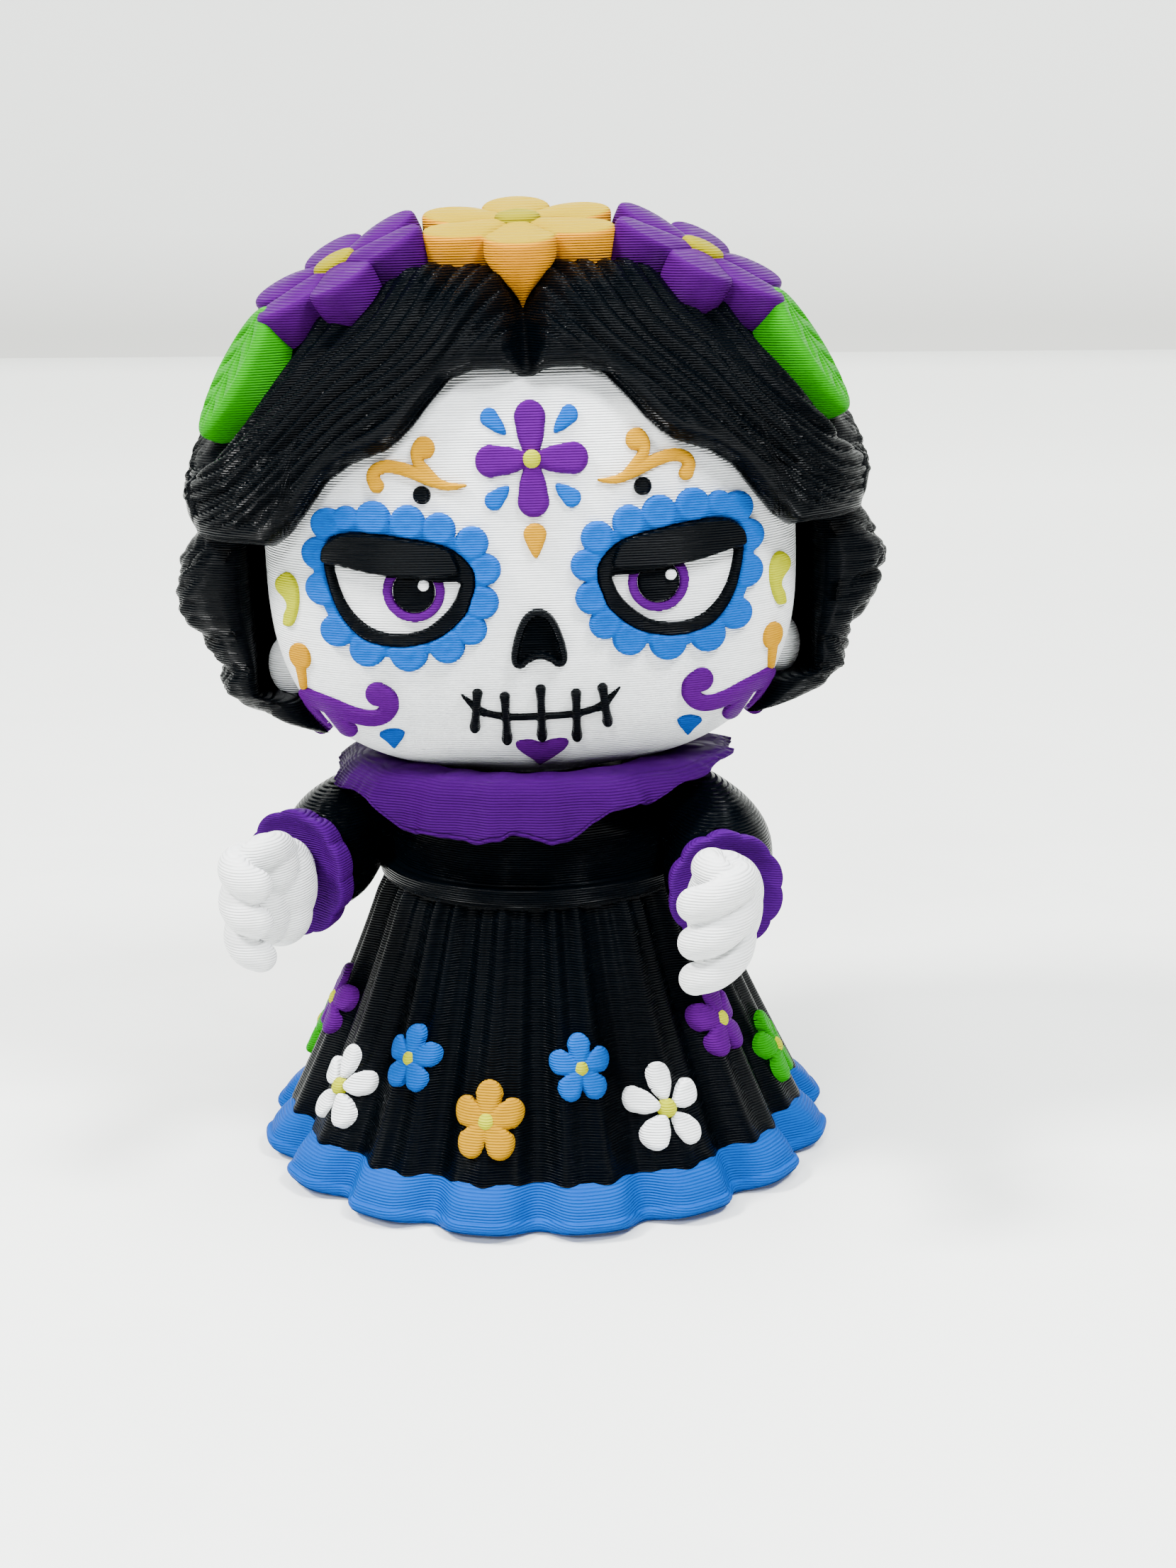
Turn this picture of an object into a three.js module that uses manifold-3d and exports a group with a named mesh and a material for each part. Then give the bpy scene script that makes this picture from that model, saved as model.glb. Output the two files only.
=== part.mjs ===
// A small printed catrina: a doll with a wide painted skull head, black hair under a crown of flowers,
// and a black dress with a purple collar and cuffs and a blue ruffled hem.
// Millimetres, +Z up. The origin is the centre of the underside, and the dress faces -Y.
import * as THREE from "three";
import { mergeVertices } from "three/addons/utils/BufferGeometryUtils.js";
import Module from "manifold-3d";

const wasm = await Module();
wasm.setup();

// Driving dimensions
const gap = 0.3; // left between solids that touch
const inlay = { low: 0.22, high: 0.62 }; // a coloured mark stands this far off what carries it
const head = {
  turn: 15.1, // degrees, towards +X of the dress
  lean: -0.75, // degrees, sideways
  middle: 56.5, // height of the widest level
  halfWidth: 23.9,
  front: 15.3,
  back: 17,
  above: 20.3,
  below: 19.8,
  power: 2.76, // of the rounded box that the skull follows
  chinDrop: 0.5,
  chinWidth: 4.5,
};
const ear = { x: 22, y: 1.5, z: 46.3, radii: [2.4, 2, 3] };
const hair = {
  middle: 60,
  halfWidth: 30.8,
  front: 18.2,
  back: 22,
  above: 20.8,
  below: 3,
  power: 2.15,
  lockDepth: 0.6,
  lockPitch: 5.6,
  partDepth: 1.9,
  partWidth: 1.8,
};
const bob = {
  top: 63,
  bottom: 40.6,
  halfWidth: 28.9,
  back: 22.5,
  shoulder: 47,
  roundness: 7.4,
  curlDepth: 0.6,
  curls: 9,
  bulges: [
    { z: 55, add: 3.7, spread: 3.4 },
    { z: 46, add: 0.9, spread: 2 },
  ],
  front: 12,
  frontFace: -3.4,
};
const skirt = {
  hemTop: 4.4,
  waist: 26.6,
  hemRadius: 24,
  waistRadius: 14.4,
  power: 1.15,
  panels: 16,
  grooveDepth: 1.1,
};
const bodice = { belt: 14.9, radius: 13.8, beltTop: 28.2, shoulder: 32.5, top: 35.6 };
const hem = { rim: 27.1, valley: 2.3, rimLift: 1, valleyLift: 0.4, foot: 24.8 };
const collar = {
  width: 19,
  depth: 17.2,
  inner: 10,
  innerTop: 36.95,
  top: 38.2,
  edge: 33.4,
  sideLift: 4.1, // where it lies over the shoulders
  scallops: 14,
  scallop: 0.35,
};
const arm = {
  line: [[10.8, 2.2, 32.2], [14.1, -0.7, 31.6], [17.1, -4.8, 30.1]],
  wrist: [18.95, -10.95, 28.7],
  outward: 22, // degrees that the cuff's opening looks to the side
  radii: [4.3, 4.6, 4.3],
};
const cuff = { outer: 5.1, scallop: 0.3, scallops: 10, dish: 3.2, dishDepth: 0.9, thick: 2 };

// Colours
const paint = {
  white: new THREE.MeshStandardMaterial({ color: 0xf2f3f4, roughness: 0.45 }),
  black: new THREE.MeshStandardMaterial({ color: 0x08090c, roughness: 0.32 }),
  purple: new THREE.MeshStandardMaterial({ color: 0x5a12a0, roughness: 0.4 }),
  blue: new THREE.MeshStandardMaterial({ color: 0x0a84ee, roughness: 0.4 }),
  orange: new THREE.MeshStandardMaterial({ color: 0xfdbb45, roughness: 0.4 }),
  yellow: new THREE.MeshStandardMaterial({ color: 0xe4e23c, roughness: 0.4 }),
  green: new THREE.MeshStandardMaterial({ color: 0x35c41e, roughness: 0.4 }),
};

const { sin, cos, abs, sign, min, max, exp, hypot, atan2, PI } = Math;
const radians = THREE.MathUtils.degToRad;
const clamp = THREE.MathUtils.clamp;
const mix = THREE.MathUtils.lerp;
const bump = (v, middle, spread) => exp(-(((v - middle) / spread) ** 2));
const steps = (count) => [...Array(count).keys()];
const signed = (v, power) => sign(v) * abs(v) ** power;

// Closed solids from rings of points. Wrapped rings make a ring-shaped solid, others are capped.
function loft(rings, wrapped = false) {
  const n = rings[0].length;
  const points = rings.flat();
  const faces = [];
  const bands = wrapped ? rings.length : rings.length - 1;
  for (const i of steps(bands)) {
    for (const j of steps(n)) {
      const k = (j + 1) % n;
      const next = (i + 1) % rings.length;
      faces.push([i * n + j, i * n + k, next * n + k], [i * n + j, next * n + k, next * n + j]);
    }
  }
  if (!wrapped) {
    for (const [i, turned] of [[0, true], [rings.length - 1, false]]) {
      const middle = [0, 1, 2].map((axis) => rings[i].reduce((sum, p) => sum + p[axis], 0) / n);
      points.push(middle);
      const apex = points.length - 1;
      for (const j of steps(n)) {
        const edge = [i * n + j, i * n + ((j + 1) % n)];
        faces.push(turned ? [edge[1], edge[0], apex] : [edge[0], edge[1], apex]);
      }
    }
  }
  return outward(points, faces);
}

// Turns the faces round where their volume comes out negative
function outward(points, faces) {
  const normal = new THREE.Vector3();
  const volume = faces.reduce((sum, face) => {
    const [a, b, c] = face.map((i) => new THREE.Vector3(...points[i]));
    return sum + a.dot(normal.crossVectors(b, c));
  }, 0);
  const geometry = new THREE.BufferGeometry();
  geometry.setAttribute("position", new THREE.Float32BufferAttribute(points.flat(), 3));
  geometry.setIndex(faces.flatMap(([a, b, c]) => (volume < 0 ? [a, c, b] : [a, b, c])));
  return geometry;
}

function toSolid(geometry) {
  const bare = new THREE.BufferGeometry();
  bare.setAttribute("position", geometry.getAttribute("position"));
  bare.setIndex(geometry.getIndex());
  const merged = mergeVertices(bare, 1e-4);
  return new wasm.Manifold(
    new wasm.Mesh({
      numProp: 3,
      vertProperties: merged.getAttribute("position").array,
      triVerts: new Uint32Array(merged.getIndex().array),
    }),
  );
}

function toGeometry(solid) {
  const { vertProperties, triVerts } = solid.getMesh();
  const geometry = new THREE.BufferGeometry();
  geometry.setAttribute("position", new THREE.BufferAttribute(vertProperties, 3));
  geometry.setIndex(new THREE.BufferAttribute(triVerts, 1));
  return geometry;
}

const joined = (geometries) => geometries.map(toSolid).reduce((sum, solid) => sum.add(solid));
const cut = (solid, tools) => tools.reduce((rest, tool) => rest.subtract(toSolid(tool)), solid);

// A rounded box in rows from the lowest to the highest, widened by grow
function ballRings(shape, rows, columns, grow = 0) {
  return steps(rows).map((i) => {
    const t = mix(-PI / 2, PI / 2, (i + 0.5) / rows);
    const level = signed(sin(t), 2 / shape.power);
    const width = cos(t) ** (2 / shape.power);
    const reach = (level < 0 ? shape.below : shape.above) + grow;
    return steps(columns).map((j) => {
      const u = (j / columns) * 2 * PI;
      const x = (shape.halfWidth + grow) * width * signed(sin(u), 2 / shape.power);
      const depth = cos(u) > 0 ? shape.front : shape.back;
      const y = -(depth + grow) * width * signed(cos(u), 2 / shape.power);
      const drop = (shape.chinDrop ?? 0) * bump(x, 0, head.chinWidth) * max(0, -level) ** 2;
      return [x, y, shape.middle + reach * level - drop];
    });
  });
}

function ellipsoid(centre, radii, rows, columns, grow = 0) {
  const geometry = new THREE.SphereGeometry(1, columns, rows);
  geometry.scale(...radii.map((radius) => radius + grow));
  geometry.translate(...centre);
  return geometry;
}

// A point on the front of the skull, lifted off it by a height
function onHead(x, z, lift) {
  const chin = head.chinDrop * bump(x, 0, head.chinWidth);
  const reach = z > head.middle ? head.above : head.below + chin;
  const across = x / head.halfWidth;
  const up = (z - head.middle) / reach;
  const rest = max(0.02, 1 - abs(across) ** head.power - abs(up) ** head.power);
  const inward = rest ** (1 / head.power);
  const out = new THREE.Vector3(
    signed(across, head.power - 1) / head.halfWidth,
    -(inward ** (head.power - 1)) / head.front,
    signed(up, head.power - 1) / reach,
  ).normalize();
  return [x + out.x * lift, -head.front * inward + out.y * lift, z + out.z * lift];
}

// The skirt and its ruffle stand out in panels, with a groove between each two
const grooveAt = (angle) => abs(sin((angle * skirt.panels) / 2)) ** 5;

function skirtRadius(angle, z) {
  const down = clamp((skirt.waist - z) / (skirt.waist - skirt.hemTop), 0, 1);
  const flare = mix(skirt.waistRadius, skirt.hemRadius, down ** skirt.power);
  return flare + skirt.grooveDepth * mix(0.3, 1, down) * (0.3 - grooveAt(angle));
}

// Points on the skirt about an angle: how far along it in millimetres, how high, and the lift off it
function onSkirt(angle, middleZ) {
  const radius = skirtRadius(angle, middleZ);
  const tilt = atan2(skirt.hemRadius - skirt.waistRadius, skirt.waist - skirt.hemTop);
  return (along, z, lift) => {
    const a = angle + along / radius;
    const r = skirtRadius(a, z) + lift * cos(tilt);
    return [r * sin(a), -r * cos(a), z + lift * sin(tilt)];
  };
}

// Outlines: through a few points, by a radius for each angle, and a drop drawn out to a tip
function closedOutline(points, count) {
  const corners = points.map(([x, z]) => new THREE.Vector3(x, 0, z));
  const curve = new THREE.CatmullRomCurve3(corners, true, "centripetal");
  return steps(count).map((i) => {
    const p = curve.getPoint(i / count);
    return [p.x, p.z];
  });
}

function polarOutline(centre, count, radiusOf) {
  return steps(count).map((i) => {
    const t = (i / count) * 2 * PI;
    return [centre[0] + radiusOf(t) * cos(t), centre[1] + radiusOf(t) * sin(t)];
  });
}

function dropOutline(round, radius, tip, count) {
  const [dx, dz] = [tip[0] - round[0], tip[1] - round[1]];
  const reach = hypot(dx, dz);
  const aim = atan2(dz, dx);
  const taper = 1.15; // radians either side of the tip
  return steps(count).map((i) => {
    const t = aim + (i / count) * 2 * PI;
    const off = abs(atan2(sin(t - aim), cos(t - aim)));
    const r = max(radius, reach * max(0, 1 - off / taper) ** 1.5);
    return [round[0] + r * cos(t), round[1] + r * sin(t)];
  });
}

// A plate on a surface: its outline, drawn in towards its middle for each share and height
const plain = [[1, inlay.low], [1, inlay.high]];

function plate(surface, outline, profile = plain) {
  const middle = [0, 1].map((axis) => outline.reduce((sum, p) => sum + p[axis], 0) / outline.length);
  const rings = profile.map(([share, lift]) =>
    outline.map(([x, z]) => surface(mix(middle[0], x, share), mix(middle[1], z, share), lift)),
  );
  return loft(rings);
}

// A ring-shaped plate between two outlines with the same number of points
function band(surface, inner, outer, topOf = () => inlay.high) {
  const ring = (outline, lift) => outline.map(([x, z]) => surface(x, z, lift(x, z)));
  const low = () => inlay.low;
  return loft([ring(inner, low), ring(outer, low), ring(outer, topOf), ring(inner, topOf)], true);
}

// A drawn line on a surface, with a half width for each share of its length
function stroke(surface, points, halfWidth, count, high = inlay.high) {
  const curve = new THREE.CatmullRomCurve3(points.map(([x, z]) => new THREE.Vector3(x, 0, z)));
  const sections = steps(count + 1).map((i) => {
    const share = i / count;
    const p = curve.getPoint(share);
    const along = curve.getTangent(share);
    const side = [-along.z * halfWidth(share), along.x * halfWidth(share)];
    return [
      surface(p.x + side[0], p.z + side[1], inlay.low),
      surface(p.x + side[0], p.z + side[1], high),
      surface(p.x - side[0], p.z - side[1], high),
      surface(p.x - side[0], p.z - side[1], inlay.low),
    ];
  });
  return loft(sections);
}

// A round limb through a few points, with a radius for each share of its length
function limb(points, radiusOf, count, sides) {
  const curve = new THREE.CatmullRomCurve3(points.map((p) => new THREE.Vector3(...p)));
  const rings = steps(count + 1).map((i) => {
    const share = i / count;
    const p = curve.getPoint(share);
    const along = curve.getTangent(share);
    const across = new THREE.Vector3(0, 0, 1).cross(along).normalize();
    const up = along.clone().cross(across);
    return steps(sides).map((j) => {
      const t = (j / sides) * 2 * PI;
      const q = p.clone().addScaledVector(across, radiusOf(share) * cos(t));
      return q.addScaledVector(up, radiusOf(share) * sin(t)).toArray();
    });
  });
  return loft(rings);
}

const mirrored = (outline) => outline.map(([x, z]) => [-x, z]);
const facing = (side) => (x, z, lift) => onHead(side * x, z, lift);

// Skull
const headParts = (grow = 0) => [
  loft(ballRings(head, 10, 20, grow)),
  ...[-1, 1].map((side) => ellipsoid([side * ear.x, ear.y, ear.z], ear.radii, 4, 7, grow)),
];

// Hair: a cap of locks combed down from the parting, and curls below it at the sides and back
const hairline = [
  [0, 73.3], [5, 73.2], [7.6, 71.6], [9.6, 69.3], [12, 67.2], [15.6, 65.9],
  [18.6, 63.2], [20.6, 60.7], [23, 58.8], [25.4, 57.3], [31, 57],
];

function hairlineAt(x) {
  const end = hairline.findIndex((p) => p[0] > abs(x));
  if (end < 0) return hairline.at(-1)[1];
  const [a, b] = [hairline[end - 1], hairline[end]];
  return mix(a[1], b[1], (abs(x) - a[0]) / (b[0] - a[0]));
}

function capGeometry() {
  const rings = ballRings(hair, 11, 28).map((ring) =>
    ring.map(([x, y, z]) => {
      const lock = hair.lockDepth * cos((2 * PI * (z - hairlineAt(x))) / hair.lockPitch);
      const parting = hair.partDepth * bump(x, 0, hair.partWidth) * clamp(-y / 6, 0, 1);
      const r = max(hypot(x, y), 0.1);
      const share = (lock * min(1, r / 8) - parting) / r;
      return [x + x * share, y + y * share, z - parting * 0.5];
    }),
  );
  return loft(rings);
}

function bobGeometry() {
  const [rows, columns] = [7, 24];
  const rings = steps(rows).map((i) => {
    const z = mix(bob.bottom, bob.top, i / (rows - 1));
    const under = clamp((bob.shoulder - z) / bob.roundness, 0, 0.96);
    const swell = bob.bulges.reduce((sum, b) => sum + b.add * bump(z, b.z, b.spread), 0);
    const width = bob.halfWidth * (1 - under ** 2.4) ** (1 / 2.4) + swell;
    return steps(columns).map((j) => {
      const u = (j / columns) * 2 * PI;
      const curl = bob.curlDepth * cos(bob.curls * u + z * 0.45);
      const depth = cos(u) > 0 ? bob.front : bob.back * (width / bob.halfWidth);
      return [(width + curl) * signed(sin(u), 0.85), -(depth + curl) * signed(cos(u), 0.85), z];
    });
  });
  return loft(rings);
}

// What the hair leaves open in front of the face, seen from the front, and beside it, seen from above
function faceWindow() {
  const half = [...hairline.filter((p) => p[0] < 25), [26.2, 57.4], [27.5, 52], [27, 46], [24, 38]];
  const outline = [...half, ...mirrored(half).reverse().slice(0, -1)];
  return loft([-40, 1.5].map((y) => outline.map(([x, z]) => [x, y, z])));
}

function besideWindow() {
  const half = [[24.6, 1.2], [25.5, -0.8], [28.5, bob.frontFace], [31.5, -1.6], [40, 2], [40, -40]];
  const outline = [...half, ...mirrored(half).reverse()];
  return loft([30, 57.2].map((z) => outline.map(([x, y]) => [x, y, z])));
}

// Crown: thick flowers and leaves, sunk into the hair
const crownFlower = { petals: 6, notch: 0.7, rim: 0.4 };
const crown = [
  { name: "top", colour: "orange", at: [0, -0.6, 85.4], tilt: [12, 0], radius: 9.3, deep: 6.2 },
  { name: "left", colour: "purple", at: [-16.2, -0.8, 82.2], tilt: [12, -27], radius: 9, deep: 5 },
  { name: "right", colour: "purple", at: [16.2, -0.8, 82.2], tilt: [12, 27], radius: 9, deep: 5 },
];
const leaf = { length: 12.8, width: 8.6, deep: 4.1, at: [25.4, -2.8, 73.8], tilt: [18, 57] };

const flat = (x, y, lift) => [x, y, lift];

// Stands a shape that was made flat, top up, at its place and tilt
function stood(geometry, at, tilt) {
  geometry.rotateX(radians(tilt[0]));
  geometry.rotateY(radians(tilt[1]));
  geometry.translate(...at);
  return geometry;
}

const crownOutline = (radius) =>
  polarOutline([0, 0], crownFlower.petals * 4, (t) => {
    const petal = abs(sin((crownFlower.petals / 2) * t)) ** 0.8;
    return radius * mix(crownFlower.notch, 1, petal);
  });

function crownFlowerGeometry(spec) {
  const profile = [[1, -spec.deep], [1, -crownFlower.rim], [0.93, 0]];
  return stood(plate(flat, crownOutline(spec.radius), profile), spec.at, spec.tilt);
}

// The room that a flower takes from the hair and from what is beside it
function crownSocket(spec) {
  const outline = crownOutline(spec.radius + gap / crownFlower.notch);
  return stood(plate(flat, outline, [[1, -spec.deep - gap], [1, gap]]), spec.at, spec.tilt);
}

function crownCentreGeometry(spec) {
  const outline = polarOutline([0, 0], 10, () => 2.15);
  return stood(plate(flat, outline, [[1, gap], [0.8, gap + 0.6]]), spec.at, spec.tilt);
}

function leafGeometry(side, grow = 0) {
  const outline = steps(14).map((i) => {
    const t = (i / 14) * 2 * PI;
    const narrowing = 1 - 0.3 * max(0, cos(t)) ** 2;
    const x = (leaf.length / 2 + grow) * cos(t);
    return [side * x, ((leaf.width / 2) * narrowing + grow) * signed(sin(t), 0.9)];
  });
  const profile = [[1, -leaf.deep - grow], [1, -0.5 + grow], [0.88, grow]];
  const [x, y, z] = leaf.at;
  return stood(plate(flat, outline, profile), [side * x, y, z], [leaf.tilt[0], side * leaf.tilt[1]]);
}

function hairGeometry() {
  const openings = [faceWindow(), ...headParts(gap)];
  const flowers = crown.map(crownSocket);
  const leaves = [-1, 1].map((side) => leafGeometry(side, gap));
  const whole = toSolid(capGeometry()).add(cut(toSolid(bobGeometry()), [besideWindow()]));
  return toGeometry(cut(whole, [...openings, ...flowers, ...leaves]));
}

// Face: outlines on the skull, given for the +X side and mirrored
const eye = {
  centre: [11.5, 55.4],
  iris: [10.4, 55.3],
  irisRadius: 2.6,
  pupilRadius: 1.75,
  rimGap: 0.2,
  leastWidth: 0.9,
  outline: [
    [17.2, 59.9], [14.6, 60.4], [10.6, 59.85], [7.3, 59.1], [5.45, 57.6], [5.2, 55.4], [6.4, 52.9],
    [8.8, 51.1], [11.6, 50.5], [14.8, 51.1], [17, 53.3], [17.8, 56], [17.95, 58.5],
  ],
  opening: [
    [16.7, 57.6], [14.4, 57.05], [10.6, 56.4], [7.6, 56.05], [6.5, 55.95], [6.65, 55.3], [7.5, 53.6],
    [9.3, 52.2], [11.6, 51.65], [14.3, 52.2], [16, 54], [16.8, 55.9], [16.95, 57.3],
  ],
  lobes: [
    [5.3, 59.3, 1.45], [4.35, 57, 1.35], [4.7, 54.2, 1.45], [5.7, 51.9, 1.35], [7.8, 50.5, 1.5],
    [11, 50, 1.65], [14.5, 50.3, 1.6], [17.1, 52, 1.5], [18.1, 55.4, 1.5], [18.2, 58.5, 1.5],
    [17.3, 61, 1.4], [15.7, 61.5, 1.1], [13.5, 61.5, 1.5], [10.6, 61.1, 1.5], [7.9, 60.4, 1.4],
  ],
};

// How far an outline, or a group of discs, reaches from a centre at an angle
function outlineReach(outline, centre, angle) {
  const [dx, dz] = [cos(angle), sin(angle)];
  return outline.reduce((far, [x, z], i) => {
    const [x2, z2] = outline[(i + 1) % outline.length];
    const [ax, az, ex, ez] = [x - centre[0], z - centre[1], x2 - x, z2 - z];
    const cross = dx * ez - dz * ex;
    const reach = (ax * ez - az * ex) / cross;
    const share = (ax * dz - az * dx) / cross;
    return reach > 0 && share >= 0 && share <= 1 ? max(far, reach) : far;
  }, 0);
}

function discsReach(discs, centre, angle) {
  return discs.reduce((far, [x, z, r]) => {
    const [ax, az] = [x - centre[0], z - centre[1]];
    const along = ax * cos(angle) + az * sin(angle);
    const root = r * r - ax * ax - az * az + along * along;
    return root > 0 && along > 0 ? max(far, along + root ** 0.5) : far;
  }, 0);
}

function eyeSurround(side) {
  const outline = closedOutline(eye.outline, 60);
  const angles = eye.lobes.flatMap(([x, z], i) => {
    const [nextX, nextZ] = eye.lobes[(i + 1) % eye.lobes.length];
    const towards = (px, pz) => atan2(pz - eye.centre[1], px - eye.centre[0]);
    return [towards(x, z), towards((x + nextX) / 2, (z + nextZ) / 2)];
  });
  const reached = (reachAt) =>
    angles.map((t) => [eye.centre[0] + reachAt(t) * cos(t), eye.centre[1] + reachAt(t) * sin(t)]);
  const innerAt = (t) => outlineReach(outline, eye.centre, t) + eye.rimGap;
  const inner = reached(innerAt);
  const outer = reached((t) => max(discsReach(eye.lobes, eye.centre, t), innerAt(t) + eye.leastWidth));
  return band(facing(side), inner, outer);
}

function eyeLid(side) {
  const thick = (x, z) => mix(0.5, 0.85, clamp((z - 56.2) / 1.2, 0, 1));
  const rim = band(facing(side), closedOutline(eye.opening, 16), closedOutline(eye.outline, 16), thick);
  const pupil = plate(facing(side), polarOutline(eye.iris, 8, () => eye.pupilRadius));
  return toGeometry(joined([rim, pupil]));
}

function irisGeometry(side) {
  const middle = (eye.irisRadius + eye.pupilRadius) / 2 + 0.08;
  const arc = steps(9).map((i) => {
    const t = radians(mix(28, -198, i / 8));
    return [eye.iris[0] + middle * cos(t), eye.iris[1] + middle * sin(t)];
  });
  const half = (eye.irisRadius - eye.pupilRadius) / 2 - 0.1;
  return stroke(facing(side), arc, () => half, 8, 0.45);
}

const noseOutline = [
  [0, 53.5], [1.2, 52.9], [2.05, 51.2], [2.45, 49.3], [1.8, 48.3], [0.9, 48.75],
  [0, 49.1], [-0.9, 48.75], [-1.8, 48.3], [-2.45, 49.3], [-2.05, 51.2], [-1.2, 52.9],
];
const noseProfile = [[1, inlay.low], [1, inlay.high], [0.76, inlay.high], [0.7, 0.35]];

const chinOutline = [
  [0, 41.05], [1.6, 41.4], [2.3, 40.9], [1.2, 39.6], [0, 38.7], [-1.2, 39.6], [-2.3, 40.9], [-1.6, 41.4],
];

const mouth = {
  line: [[-6.85, 46.1], [-5.5, 44.3], [-3, 43.85], [0, 43.75], [3, 43.85], [5.5, 44.3], [6.85, 46.1]],
  stitches: [
    [[-5.35, 46.1], [-5.75, 42.9]], [[-3.05, 45.7], [-3.05, 41.6]], [[0, 46.2], [0, 41.8]],
    [[3.05, 45.7], [3.05, 41.6]], [[5.35, 46.1], [5.75, 42.9]],
  ],
};

function mouthGeometry() {
  const line = stroke(onHead, mouth.line, (s) => min(0.28, mix(0.1, 1.6, min(s, 1 - s))), 7, 0.5);
  const stitches = mouth.stitches.map((ends) => stroke(onHead, ends, () => 0.44, 1));
  return toGeometry(joined([line, ...stitches]));
}

// Each of its four petals as reaches at degrees from the petal's middle
const foreheadFlower = {
  centre: [0.05, 66.05],
  petal: [[-45, 0.95], [-33, 1.6], [-24, 3.45], [-5, 4.85], [5, 4.85], [24, 3.45], [33, 1.6]],
  heart: 0.8,
};

function foreheadGeometry() {
  const { centre, petal } = foreheadFlower;
  const outline = [0, 90, 180, 270].flatMap((quarter) =>
    petal.map(([off, reach]) => {
      const t = radians(quarter + off);
      return [centre[0] + reach * cos(t), centre[1] + reach * sin(t)];
    }),
  );
  return plate(onHead, outline, [[0.45, inlay.low], [1, inlay.low], [1, inlay.high]]);
}

const browScroll = {
  main: [
    [5.65, 64.1], [7, 64.05], [8.6, 64.65], [10.1, 65.35], [11.6, 65.75], [12.7, 65.75], [13.3, 65.1],
    [12.95, 64.3],
  ],
  branch: [[8.2, 64.75], [8.95, 65.45], [9.3, 66.6]],
  ball: [8.85, 67.15],
};

function browGeometry(side) {
  const main = stroke(facing(side), browScroll.main, (s) => mix(0.12, 0.5, min(1, s * 3)), 5);
  const branch = stroke(facing(side), browScroll.branch, () => 0.4, 2);
  const ball = plate(facing(side), polarOutline(browScroll.ball, 7, () => 0.85));
  return toGeometry(joined([main, branch, ball]));
}

const cheekScroll = {
  hook: [[20.2, 44.9], [18.2, 44.4], [16, 43.9], [14.5, 43.8], [13.5, 44.4], [13.1, 45.4], [13.6, 46.2]],
  ball: [14.1, 46],
  petals: [[[18.3, 44.2], [16.8, 42.2]], [[20, 44.6], [19.2, 41.9]]],
};

function cheekGeometry(side) {
  const hook = stroke(facing(side), cheekScroll.hook, () => 0.55, 6);
  const ball = plate(facing(side), polarOutline(cheekScroll.ball, 7, () => 1.05));
  const petals = cheekScroll.petals.map((points) => stroke(facing(side), points, (s) => mix(0.4, 0.75, s), 1));
  return toGeometry(joined([hook, ball, ...petals]));
}

const pairedMarks = {
  temple_paisley: [
    "yellow",
    closedOutline(
      [[21.5, 56.6], [22.5, 55.6], [22, 54.3], [21.6, 53.5], [22, 51.8], [20.5, 53.8], [20.4, 55.6]],
      12,
    ),
  ],
  temple_mark: ["orange", closedOutline([[20.7, 50.2], [21.7, 49], [20.8, 45.9], [19.8, 48.9]], 10)],
  upper_drop: ["blue", dropOutline([3.25, 69.4], 0.66, [2.05, 68.2], 9)],
  lower_drop: ["blue", dropOutline([3.2, 62.85], 0.7, [2, 63.85], 9)],
  brow_dot: ["black", polarOutline([9.3, 63.4], 8, () => 0.7)],
  cheek_drop: ["blue", closedOutline([[12, 42.1], [13, 42.7], [14.1, 42], [13, 40.7]], 9)],
};

// Dress flowers, each in the middle of a panel: by turns low and high
const dressFlowers = [
  ["orange", 0, "front"], ["blue", 22.5, "right"], ["blue", -22.5, "left"],
  ["white", 45, "right"], ["white", -45, "left"], ["purple", 67.5, "right"], ["purple", -67.5, "left"],
  ["green", 90, "right"], ["green", -90, "left"],
  ["white", 135, "back_right"], ["white", -135, "back_left"], ["orange", 180, "back"],
];
const dressFlower = {
  low: 9.3,
  high: 13.4,
  purpleHigh: 14.4,
  reach: 3.45,
  notch: 1.1,
  petals: 5,
  fullness: 0.5,
  blueScale: 0.9,
};

function dressFlowerGeometry(colour, degrees) {
  const high = colour === "purple" ? dressFlower.purpleHigh : dressFlower.high;
  const z = Math.round(abs(degrees) / 22.5) % 2 ? high : dressFlower.low;
  const scale = colour === "blue" ? dressFlower.blueScale : 1;
  const outline = polarOutline([0, z], 20, (t) => {
    const petal = abs(cos((dressFlower.petals / 2) * (t - PI / 2))) ** dressFlower.fullness;
    return scale * mix(dressFlower.notch, dressFlower.reach, petal);
  });
  return plate(onSkirt(radians(degrees), z), outline, [[1, 0.3], [1, 0.8]]);
}

// Dress: skirt, bodice and sleeves in one
const ringOf = (turns, radiusOf, heightOf) =>
  turns.map((a) => [radiusOf(a) * sin(a), -radiusOf(a) * cos(a), heightOf(a)]);

function panelRing(radiusOf, heightOf) {
  const turns = steps(skirt.panels).flatMap((i) => [-0.5, -0.34, 0.34].map((f) => i + f));
  return ringOf(turns.map((f) => (f * 2 * PI) / skirt.panels), radiusOf, heightOf);
}

function sleeveGeometry(side) {
  const place = onForearm(side);
  const line = arm.line.map(([x, y, z]) => [side * x, y, z]);
  const [a, b, c] = arm.radii;
  const radiusOf = (s) => (s < 0.5 ? mix(a, b, s / 0.5) : mix(b, c, (s - 0.5) / 0.5));
  return limb([...line, place([0, -2.5, 0]), place([0, 0, 0])], radiusOf, 6, 9);
}

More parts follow.
